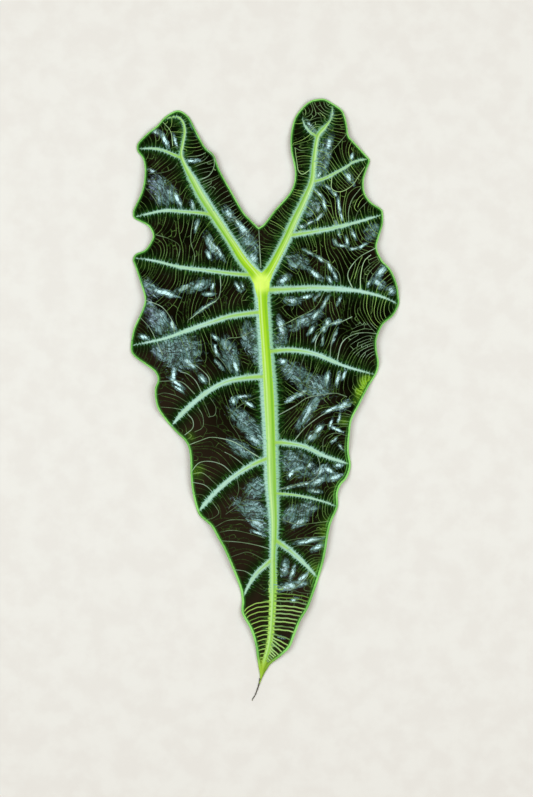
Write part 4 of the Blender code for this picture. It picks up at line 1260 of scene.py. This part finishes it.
@dataclass(frozen=True)
class DrySkin:
    """The dead, dry thread at the tip, and the dried bundles in the stalk's cut face."""

    name: str
    brown: Colour = srgb(84, 74, 56)
    dark: Colour = srgb(40, 34, 24)
    pale: Colour = srgb(150, 142, 116)
    roughness: float = 0.7

    def material(self) -> bpy.types.Material:
        """Build the material."""
        graph = Graph(self.name)
        grain = graph.noise(graph.place(), 1.6)
        share = graph.marks("vein")[1]
        colour = graph.colour(self.brown).mixed(self.dark, grain.ease(0.4, 0.65))
        colour = colour.mixed(self.pale, share.ease(0.9, 1.0))
        return graph.finish(Base_Color=colour, Roughness=self.roughness + (grain - 0.5) * 0.2)


def add_object(name: str, data: Any) -> bpy.types.Object:
    """Put an object of a mesh, a light or a camera into the scene."""
    thing = bpy.data.objects.new(name, data)
    bpy.context.scene.collection.objects.link(thing)
    return thing


def add_mesh(name: str, spots: Any, edges: Sequence[Any] = (), faces: Sequence[Any] = ()) -> bpy.types.Object:
    """Put an object of a new mesh into the scene.

    Args:
        name: the name of both.
        spots: the mesh's points, in millimetres.
        edges: its loose edges.
        faces: its faces.

    Returns:
        The object.
    """
    mesh = bpy.data.meshes.new(name)
    mesh.from_pydata((np.array(spots, dtype=float) * MM).tolist(), list(edges), list(faces))
    return add_object(name, mesh)


def mark(thing: bpy.types.Object, name: str, values: Any) -> None:
    """Write one number, or three, on each point of an object's mesh."""
    rows = np.array(values, dtype=float)
    kind, key = ("FLOAT", "value") if rows.ndim == 1 else ("FLOAT_VECTOR", "vector")
    thing.data.attributes.new(name, kind, "POINT").data.foreach_set(key, rows.ravel())


@dataclass
class Blade:
    """The blade with its ribs: one closed mesh, whose triangles follow the veins."""

    form: LeafForm
    net: VeinNet
    rib_row_gap: float = 0.8
    fill_step: float = 0.78
    fill_gap: float = 0.5
    fill_jitter: float = 0.16
    row_gap: float = 0.42
    insets: Pair = (0.5, 1.2)
    vein_reach: float = 3.0
    stalk_reach: float = 9.0
    lowest: float = 0.15
    settle_rounds: int = 14
    quilt: float = 0.055
    quilt_from_rib: Pair = (0.0, 2.5)
    quilt_from_edge: Pair = (0.8, 3.0)
    quilt_width: float = 0.8
    quilt_level: float = 0.6
    rim_round: float = 0.22
    scar_lift: float = 0.12
    scar_slope: float = 0.12
    tip_reach: Pair = (124.0, 142.5)
    sheen_slope: float = math.tan(math.radians(15.5))
    sheen_from_rib: Pair = (-0.3, 2.0)
    sheen_from_edge: Pair = (0.8, 4.0)
    sheen_breadths: Pair = (0.8, 2.2)
    sheen_spread: Pair = (1.15, 1.75)
    # How much more narrow patches shine, in the coat and in the painted glare.
    narrow_glow: float = 1.8
    ripple: float = 0.035
    ripple_length: float = 3.1
    level_off: float = 6.15
    heart_reach: float = 5.0

    def lay_out(self) -> None:
        """Place every point of the plan and divide it into triangles."""
        edge = [tuple(spot) for spot in self.form.edge]
        vein = [tuple(spot) for spot in self.net.spots]
        points = edge + vein
        for row in self.rib_rows():
            points += self.clear_of(points, row, self.row_gap)
        for inset in self.insets:
            points += self.clear_of(points, self.inset_edge(inset), self.row_gap)
        points += self.clear_of(points, self.grid(), self.fill_gap)
        first = len(edge)
        creases = {(first + min(pair), first + max(pair)) for run in self.net.runs
                   for pair in zip(run.spots, run.spots[1:])}
        loop = list(range(first))
        plan, _, faces, origins, *_ = delaunay_2d_cdt(points, list(creases), [loop], 1, 1e-5)
        self.plan = np.array([tuple(spot) for spot in plan])
        triangles = np.array(faces)
        a, b, c = (self.plan[triangles[:, corner]] for corner in range(3))
        turn = (b[:, 0] - a[:, 0]) * (c[:, 1] - a[:, 1]) - (b[:, 1] - a[:, 1]) * (c[:, 0] - a[:, 0])
        triangles[turn < 0] = triangles[turn < 0][:, ::-1]
        self.triangles = triangles
        where = {source: number for number, sources in enumerate(origins) for source in sources}
        self.vein_points = [where[first + number] for number in range(len(vein))]

    def clear_of(self, points: list[Pair], extra: np.ndarray, gap: float) -> list[Pair]:
        """Those extra points that are inside the edge and further than gap from every point."""
        tree = KDTree(len(points))
        for index, (x, y) in enumerate(points):
            tree.insert((x, y, 0.0), index)
        tree.balance()
        extra = extra[self.form.inside(extra)]
        return [(x, y) for x, y in extra if tree.find((x, y, 0.0))[2] > gap]

    def rib_rows(self) -> Iterable[np.ndarray]:
        """Rows of points along every rib, from its centre line out to the edge of its core."""
        for rib, line in self.net.ribs():
            legs = np.diff(line, axis=0)
            normal = unit(left_of(legs))
            share = np.linspace(0, 1, len(legs))
            half = rib.band_at(share) * self.net.core_share
            for count in range(int(half.max() / self.rib_row_gap) + 1):
                fits = half >= count * self.rib_row_gap - 0.2
                for side in (1, -1) if count else (1,):
                    yield line[:-1][fits] + normal[fits] * (count * self.rib_row_gap * side)

    def inset_edge(self, inset: float) -> np.ndarray:
        """The edge moved inwards, without the places that come too near to it."""
        edge = self.form.edge
        run = np.roll(edge, -1, axis=0) - np.roll(edge, 1, axis=0)
        spots = edge + unit(left_of(run)) * inset
        return spots[nearest_on(self.form.edge_ring, spots).distance > 0.9 * inset]

    def grid(self) -> np.ndarray:
        """A jittered triangular grid over the whole leaf."""
        draw = random.Random(SEED + 1)
        low, high = self.form.edge.min(0), self.form.edge.max(0)
        row_height = self.fill_step * math.sqrt(0.75)
        jitter = self.fill_jitter * self.fill_step
        spots = []
        for row in range(int((high[1] - low[1]) / row_height) + 1):
            for column in range(int((high[0] - low[0]) / self.fill_step) + 1):
                x = low[0] + (column + 0.5 * (row % 2)) * self.fill_step
                spots.append((x + draw.uniform(-jitter, jitter),
                              low[1] + row * row_height + draw.uniform(-jitter, jitter)))
        return np.array(spots)

    def raise_up(self) -> None:
        """Work out both faces' heights and the numbers that the finishes read."""
        spots = self.plan
        found = self.form.survey(spots)
        self.found = found
        tree = KDTree(sum(4 * len(run.spots) for run in self.net.runs))
        for run in self.net.runs:
            for first, last in zip(run.spots, run.spots[1:]):
                for share in (0.0, 0.25, 0.5, 0.75):
                    x, y = self.net.spots[first] * (1 - share) + self.net.spots[last] * share
                    tree.insert((x, y, 0.0), first)
        tree.balance()
        self.to_vein = np.array([min(tree.find((x, y, 0.0))[2], self.vein_reach) for x, y in spots])
        self.to_vein[self.vein_points] = 0.0

        rise = self.settled(self.form.rise(spots, found))
        rise = self.buckled(spots, rise, found)
        keel, crown = self.form.rib_relief(spots, found)
        clear = smooth_step(np.minimum(found.main_gap, found.side_gap), *self.quilt_from_rib)
        clear = clear * smooth_step(found.to_edge, *self.quilt_from_edge)
        quilt = self.quilt * clear * (smooth_step(self.to_vein, 0.0, self.quilt_width) - self.quilt_level)
        rim = self.rim_round * (1 - smooth_step(found.to_edge, 0.0, 1.0))
        self.top = rise + self.form.blade + crown + quilt - rim
        off = self.form.off_stalk(spots)
        scar = self.scar_lift * smooth_step(self.form.stalk_flat_share - off, 0.0, self.scar_slope)
        self.under = np.maximum(rise - keel + quilt + 0.3 * rim, 0.0) + scar
        self.off_stalk = np.minimum(off, self.stalk_reach)
        self.tip = smooth_step(-spots[:, 1], *self.tip_reach)

    def buckled(self, spots: np.ndarray, rise: np.ndarray, found: Survey) -> np.ndarray:
        """Turn each shining patch towards the light that it already leans to, crinkle it, and note how
        strongly each spot shines, for the coat and for the painted sheen.

        Args:
            spots: the plan's points.
            rise: the blade's height at each.
            found: the survey of those points.

        Returns:
            The heights with a tilted patch worked in at each sheen.
        """
        free = smooth_step(np.minimum(found.main_gap, found.side_gap), *self.sheen_from_rib)
        free = free * smooth_step(found.to_edge, *self.sheen_from_edge)
        added = np.zeros(len(spots))
        self.shine = np.zeros((len(spots), 3))
        for x, y, along, across, turn in SHEENS:
            offset = spots - (x, y)
            close = np.hypot(*offset.T) < 0.7 * across + 1.0
            base = np.column_stack([offset[close], np.ones(close.sum())])
            slope = np.linalg.lstsq(base, rise[close], rcond=None)[0][:2]
            aim = np.array([math.copysign(self.sheen_slope, slope[0]), 0.0])
            cos, sin = math.cos(math.radians(turn)), math.sin(math.radians(turn))
            broad = float(smooth_step(across, *self.sheen_breadths))
            spread = self.sheen_spread[0] + (self.sheen_spread[1] - self.sheen_spread[0]) * broad
            u = (offset[:, 0] * cos + offset[:, 1] * sin) / (spread * along)
            v = (offset[:, 1] * cos - offset[:, 0] * sin) / (spread * across)
            window = np.exp(-(u * u + v * v) ** 1.5)
            run = spots @ (cos, sin)
            off = spots @ (-sin, cos)
            fold = np.sin(2 * math.pi * off / self.ripple_length + 1.3 * np.sin(0.45 * run))
            added += window * (offset @ (aim - slope) + self.ripple * fold)
            glow = window * (self.narrow_glow + (1 - self.narrow_glow) * broad)
            lead = glow > self.shine[:, 0]
            self.shine[lead] = np.column_stack([glow, run, off])[lead]
        raised = np.maximum(rise + added * free, self.lowest)
        over = np.maximum(raised - self.level_off, 0.0)
        return raised - over + np.tanh(over)

    def settled(self, heights: np.ndarray) -> np.ndarray:
        """Heights averaged with their neighbours', to round off the folds between panels."""
        pairs = np.vstack([self.triangles[:, [0, 1]], self.triangles[:, [1, 2]], self.triangles[:, [2, 0]]])
        both = np.vstack([pairs, pairs[:, ::-1]])
        count = np.bincount(both[:, 0], minlength=len(heights))
        for _ in range(self.settle_rounds):
            total = np.bincount(both[:, 0], weights=heights[both[:, 1]], minlength=len(heights))
            heights = 0.4 * heights + 0.6 * total / count
        return heights

    def piece(self) -> bpy.types.Object:
        """Make the mesh, with a face for each triangle above and below and a rim between them."""
        count = len(self.plan)
        flat = self.plan - self.form.middle
        top = np.column_stack([flat, self.top])
        under = np.column_stack([flat, self.under])
        used: dict[tuple[int, int], int] = {}
        for triangle in self.triangles.tolist():
            for start, end in zip(triangle, triangle[1:] + triangle[:1]):
                used[(start, end)] = used.get((start, end), 0) + 1
        rim = [(start + count, end + count, end, start) for start, end in used if (end, start) not in used]
        faces = self.triangles.tolist() + (self.triangles[:, ::-1] + count).tolist() + rim
        leaf = add_mesh("leaf_blade", np.vstack([top, under]), faces=faces)
        slots = [0] * len(self.triangles) + [1] * len(self.triangles) + [0] * len(rim)
        leaf.data.polygons.foreach_set("material_index", slots)
        leaf.data.shade_smooth()
        found = self.found
        blotch = self.blotches(self.plan)
        marks = {
            "main_rib": (found.main_gap, found.main_share, found.main_across),
            "side_rib": (found.side_gap, found.side_share, found.side_half),
            "net": (self.to_vein, found.to_edge, blotch),
            "form": (found.main_half, self.tip, self.heart()),
            "shine": tuple(self.shine.T),
            "stalk": (self.off_stalk,) * 3,
        }
        for name, columns in marks.items():
            values = np.column_stack(columns)
            mark(leaf, name, np.vstack([values, values]))
        for skin in (UpperSkin(), LowerSkin()):
            leaf.data.materials.append(skin.material())
        return leaf

    def heart(self) -> np.ndarray:
        """Nearness to the point where the ribs meet, from 0 to 1."""
        return np.exp(-(self.form.off_heart(self.plan) / self.heart_reach) ** 2)

    def blotches(self, spots: np.ndarray) -> np.ndarray:
        """How yellow the blade is in the few places where its dark colour gives out."""
        total = np.zeros(len(spots))
        for x, y, wide, high, strength in BLOTCHES:
            away = off_middle(spots, (x, y), (wide, high))
            total = np.maximum(total, strength * np.exp(-away ** 2))
        return total


@dataclass
class VeinThreads:
    """The raised veins of one face, swept along the net by Geometry Nodes."""

    blade: Blade
    side: Side
    sides: int = 5
    sink: float = 0.35
    heart_room: float = 5.2
    taper: float = 1.5
    floor_girths: float = 1.1
    blotch_gain: float = 1.6

    def piece(self) -> bpy.types.Object:
        """Sweep a small round section along every vein."""
        name = f"vein_threads_{self.side.value}"
        blade, net = self.blade, self.blade.net
        heights, up = (blade.top, 1.0) if self.side is Side.UPPER else (blade.under, -1.0)
        blotch = np.minimum(self.blotch_gain * blade.blotches(blade.plan), 1.0)
        rib_gap = np.minimum(blade.found.main_gap, blade.found.side_gap)
        flat = blade.plan - blade.form.middle
        spots: list[tuple[float, float, float]] = []
        edges: list[tuple[int, int]] = []
        girths: list[float] = []
        marks: list[tuple[float, float, float]] = []
        lime: list[float] = []
        for run in net.runs:
            first, last = run.rank.girth
            points = [blade.vein_points[number] for number in run.spots]
            if blade.form.off_heart(blade.plan[points]).min() < self.heart_room:
                continue
            for count, (number, index) in enumerate(zip(run.spots, points)):
                share = count / max(1, len(points) - 1)
                girth = first + (last - first) * min(1.0, share * self.taper)
                z = max(heights[index] + up * girth * (0.5 - self.sink), self.floor_girths * girth)
                if count:
                    edges.append((len(spots) - 1, len(spots)))
                spots.append((*flat[index], z))
                girths.append(girth * MM)
                netted = net.netted(*net.spots[number])[1] if run.rank is VeinRank.FINE else 0.0
                marks.append((rib_gap[index], max(run.rank.pallor, netted), run.vigour))
                lime.append(blotch[index])
        source = add_mesh(name, spots, edges)
        mark(source, "girth", girths)
        mark(source, "vein", marks)
        mark(source, "near_blotch", np.column_stack([lime] * 3))
        skin = ThreadSkin(name + "_skin").material()
        return baked(source, sweep_tree(), {"Sides": self.sides, "Skin": skin})


@dataclass
class StalkBundles:
    """The vessel bundles that show as dots in the cut face of the stalk, set out by Geometry Nodes."""

    blade: Blade
    rings: Sequence[tuple[float, int]] = ((0.14, 3), (0.34, 8), (0.54, 13))
    turn_jitter: float = 0.2
    ring_jitter: float = 0.03
    radius: float = 0.2
    flatness: float = 0.5

    def piece(self) -> bpy.types.Object:
        """Set a small flattened dot on each place of the rings."""
        draw = random.Random(SEED + 2)
        form = self.blade.form
        spots = []
        for ring, count in self.rings:
            turn = draw.uniform(0.0, math.tau)
            for index in range(count):
                angle = turn + math.tau * (index + draw.uniform(-self.turn_jitter, self.turn_jitter)) / count
                off = ring + draw.uniform(-self.ring_jitter, self.ring_jitter)
                x = form.stalk_centre[0] + form.stalk_radii[0] * off * math.cos(angle) - form.middle[0]
                y = form.stalk_centre[1] + form.stalk_radii[1] * off * math.sin(angle) - form.middle[1]
                spots.append((x, y, self.blade.scar_lift))
        return baked(add_mesh("stalk_bundles", spots), dot_tree(),
                     {"Radius": self.radius * MM, "Flatness": self.flatness,
                      "Skin": DrySkin("bundle_skin").material()})


@dataclass
class DripThread:
    """The dry thread that the tip draws out into, swept by the same tree as the veins."""

    blade: Blade
    path: Path = ((-2.3, -139.0), (-3.0, -142.3), (-4.1, -145.6), (-4.9, -147.6), (-6.0, -149.3),
                  (-6.3, -150.4))
    step: float = 0.3
    girth: Pair = (0.34, 0.2)
    sunk: float = 0.75
    sides: int = 8
    down: float = 0.5
    curl: float = 0.12
    knots: float = 0.18
    floor_girths: float = 1.3

    def piece(self) -> bpy.types.Object:
        """Sweep the thread from inside the blade's point down to the floor."""
        line = smooth_line(self.path, self.step)
        plan = self.blade.plan
        start = float(self.blade.top[np.hypot(*(plan - line[0]).T).argmin()])
        share = np.linspace(0, 1, len(line))
        girth = self.girth[0] + (self.girth[1] - self.girth[0]) * share
        sag = start - self.sunk + (girth[-1] - start + self.sunk) * share ** self.down
        height = np.maximum(sag + self.curl * np.sin(7 * share), self.floor_girths * girth)
        spots = np.column_stack([line - self.blade.form.middle, height])
        source = add_mesh("drip_thread", spots, [(index, index + 1) for index in range(len(line) - 1)])
        mark(source, "girth", girth * (1 + self.knots * np.sin(31 * share)) * MM)
        mark(source, "vein", np.column_stack([share] * 3))
        return baked(source, sweep_tree(), {"Sides": self.sides, "Skin": DrySkin("dry_skin").material()})


class Tree:
    """A Geometry Nodes tree that takes a mesh with some values and gives a mesh."""

    def __init__(self, name: str, **inputs: str) -> None:
        """Start a tree whose inputs are a mesh and what is named, each with its kind of socket."""
        self.tree = bpy.data.node_groups.new(name, "GeometryNodeTree")
        for label, kind in {"Geometry": "Geometry", **inputs}.items():
            self.tree.interface.new_socket(label, in_out="INPUT", socket_type="NodeSocket" + kind)
        self.tree.interface.new_socket("Geometry", in_out="OUTPUT", socket_type="NodeSocketGeometry")
        self.given = self.add("NodeGroupInput")

    def add(self, kind: str, **links: Any) -> Any:
        """Add a node, with links or values for its inputs by name, spaces written as underscores.

        Args:
            kind: its type.
            links: what each of its inputs is given.

        Returns:
            The node's outputs, by name.
        """
        node = self.tree.nodes.new(kind)
        for name, value in links.items():
            socket = node.inputs[name.replace("_", " ")]
            if isinstance(value, bpy.types.NodeSocket):
                self.tree.links.new(value, socket)
            else:
                socket.default_value = value
        return node.outputs

    def dressed(self, shape: bpy.types.NodeSocket) -> bpy.types.GeometryNodeTree:
        """End the tree with a shape: one smooth mesh in the skin that is given."""
        whole = self.add("GeometryNodeRealizeInstances", Geometry=shape)
        smooth = self.add("GeometryNodeSetShadeSmooth", Geometry=whole["Geometry"])
        skinned = self.add("GeometryNodeSetMaterial", Geometry=smooth["Geometry"],
                           Material=self.given["Skin"])
        self.add("NodeGroupOutput", Geometry=skinned["Geometry"])
        return self.tree


def sweep_tree() -> bpy.types.GeometryNodeTree:
    """A tree that sweeps a round section, as wide as each point's girth, along a mesh's edges."""
    tree = Tree("sweep_threads", Sides="Int", Skin="Material")
    girth = tree.add("GeometryNodeInputNamedAttribute", Name="girth")
    curve = tree.add("GeometryNodeMeshToCurve", Mesh=tree.given["Geometry"])
    section = tree.add("GeometryNodeCurvePrimitiveCircle", Resolution=tree.given["Sides"], Radius=1.0)
    swept = tree.add("GeometryNodeCurveToMesh", Curve=curve["Curve"], Scale=girth["Attribute"],
                     Profile_Curve=section["Curve"], Fill_Caps=True)
    return tree.dressed(swept["Mesh"])


def dot_tree() -> bpy.types.GeometryNodeTree:
    """A tree that sets a flattened ball on each point of a mesh."""
    tree = Tree("set_dots", Radius="Float", Flatness="Float", Skin="Material")
    ball = tree.add("GeometryNodeMeshUVSphere", Segments=12, Rings=6, Radius=tree.given["Radius"])
    points = tree.add("GeometryNodeMeshToPoints", Mesh=tree.given["Geometry"])
    scale = tree.add("ShaderNodeCombineXYZ", X=1.0, Y=1.0, Z=tree.given["Flatness"])
    dots = tree.add("GeometryNodeInstanceOnPoints", Points=points["Points"], Instance=ball["Mesh"],
                    Scale=scale["Vector"])
    return tree.dressed(dots["Instances"])


def baked(source: bpy.types.Object, tree: bpy.types.GeometryNodeTree,
          values: dict[str, Any]) -> bpy.types.Object:
    """Run a tree on an object and keep the result as a plain mesh.

    Args:
        source: the object whose mesh the tree reads.
        tree: the tree.
        values: the tree's inputs, by name.

    Returns:
        The same object, with the tree's result as its mesh and no modifier.
    """
    modifier = source.modifiers.new(tree.name, "NODES")
    modifier.node_group = tree
    for socket in tree.interface.items_tree:
        if socket.in_out == "INPUT" and socket.name in values:
            modifier[socket.identifier] = values[socket.name]
    graph = bpy.context.evaluated_depsgraph_get()
    result = bpy.data.meshes.new_from_object(source.evaluated_get(graph), depsgraph=graph)
    result.name = source.name
    source.modifiers.remove(modifier)
    source.data = result
    return source


@dataclass
class Studio:
    """A pale floor, two soft lights and a camera straight above."""

    view_mm: Pair = (266.5, 398.5)
    centre_mm: Pair = (0.75, 0.75)
    lens_mm: float = 200.0
    sensor_mm: float = 36.0
    floor_half_mm: float = 900.0
    floor_colour: Colour = srgb(248, 227, 217)
    floor_cloud: Colour = srgb(244, 222, 212)
    box_mm: float = 620.0
    key_place_mm: tuple[float, float, float] = (-520.0, 60.0, 890.0)
    fill_place_mm: tuple[float, float, float] = (520.0, 20.0, 890.0)
    key_watts: float = 6.4
    fill_watts: float = 5.8
    world_light: float = 0.4
    world_colour: Colour = (1.0, 0.86, 0.68)
    light_colour: Colour = (0.6, 0.88, 1.0)

    def build(self) -> None:
        """Set up the floor, the lights, the world and the camera."""
        self.floor()
        self.light("left_softbox", self.key_place_mm, self.key_watts)
        self.light("right_softbox", self.fill_place_mm, self.fill_watts)
        world = bpy.data.worlds.new("studio")
        world.use_nodes = True
        background = world.node_tree.nodes["Background"]
        background.inputs["Color"].default_value = (*self.world_colour, 1.0)
        background.inputs["Strength"].default_value = self.world_light
        bpy.context.scene.world = world
        bpy.context.scene.view_settings.view_transform = "Standard"
        self.camera()

    def floor(self) -> None:
        """A plain pale floor."""
        half = self.floor_half_mm
        corners = [(-half, -half, 0.0), (half, -half, 0.0), (half, half, 0.0), (-half, half, 0.0)]
        floor = add_mesh("pale_floor", corners, faces=[(0, 1, 2, 3)])
        graph = Graph("pale_floor")
        grain = graph.noise(graph.place(), 0.08)
        colour = graph.colour(self.floor_colour).mixed(self.floor_cloud, grain.ease(0.35, 0.65))
        floor.data.materials.append(graph.finish(Base_Color=colour, Roughness=0.9, Specular_IOR_Level=0.1))

    def light(self, name: str, place: tuple[float, float, float], watts: float) -> None:
        """A square soft light aimed at the leaf."""
        lamp = bpy.data.lights.new(name, "AREA")
        lamp.shape = "SQUARE"
        lamp.size = self.box_mm * MM
        lamp.energy = watts
        lamp.color = self.light_colour
        spot = Vector(place) * MM
        holder = add_object(name, lamp)
        holder.location = spot
        holder.rotation_euler = (-spot).to_track_quat("-Z", "Y").to_euler()

    def camera(self) -> None:
        """A long lens straight above, with the photograph's frame."""
        lens = bpy.data.cameras.new("top_camera")
        lens.lens = self.lens_mm
        lens.sensor_fit = "VERTICAL"
        lens.sensor_height = self.sensor_mm
        lens.clip_end = 50.0
        holder = add_object("top_camera", lens)
        distance = self.view_mm[1] * self.lens_mm / self.sensor_mm
        holder.location = (self.centre_mm[0] * MM, self.centre_mm[1] * MM, distance * MM)
        bpy.context.scene.camera = holder


def main() -> None:
    """Build the studio and the leaf's pieces in order, and bind each to the leaf."""
    logging.basicConfig(level=logging.INFO, format="%(name)s: %(message)s")
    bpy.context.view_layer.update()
    Studio().build()
    form = LeafForm()
    net = VeinNet(form)
    net.trace()
    LOG.info("net: %d veins, %d points", len(net.runs), len(net.spots))
    blade = Blade(form, net)
    blade.lay_out()
    blade.raise_up()
    leaf = blade.piece()
    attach(leaf, "root")
    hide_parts(NODE)
    LOG.info("leaf_blade: %d faces, %.2f mm high", len(leaf.data.polygons), blade.top.max())
    makers = (*(VeinThreads(blade, side) for side in Side), StalkBundles(blade), DripThread(blade))
    for maker in makers:
        part = maker.piece()
        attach(part, "root")
        LOG.info("%s: %d faces", part.name, len(part.data.polygons))
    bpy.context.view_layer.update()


if __name__ == "__main__":
    main()
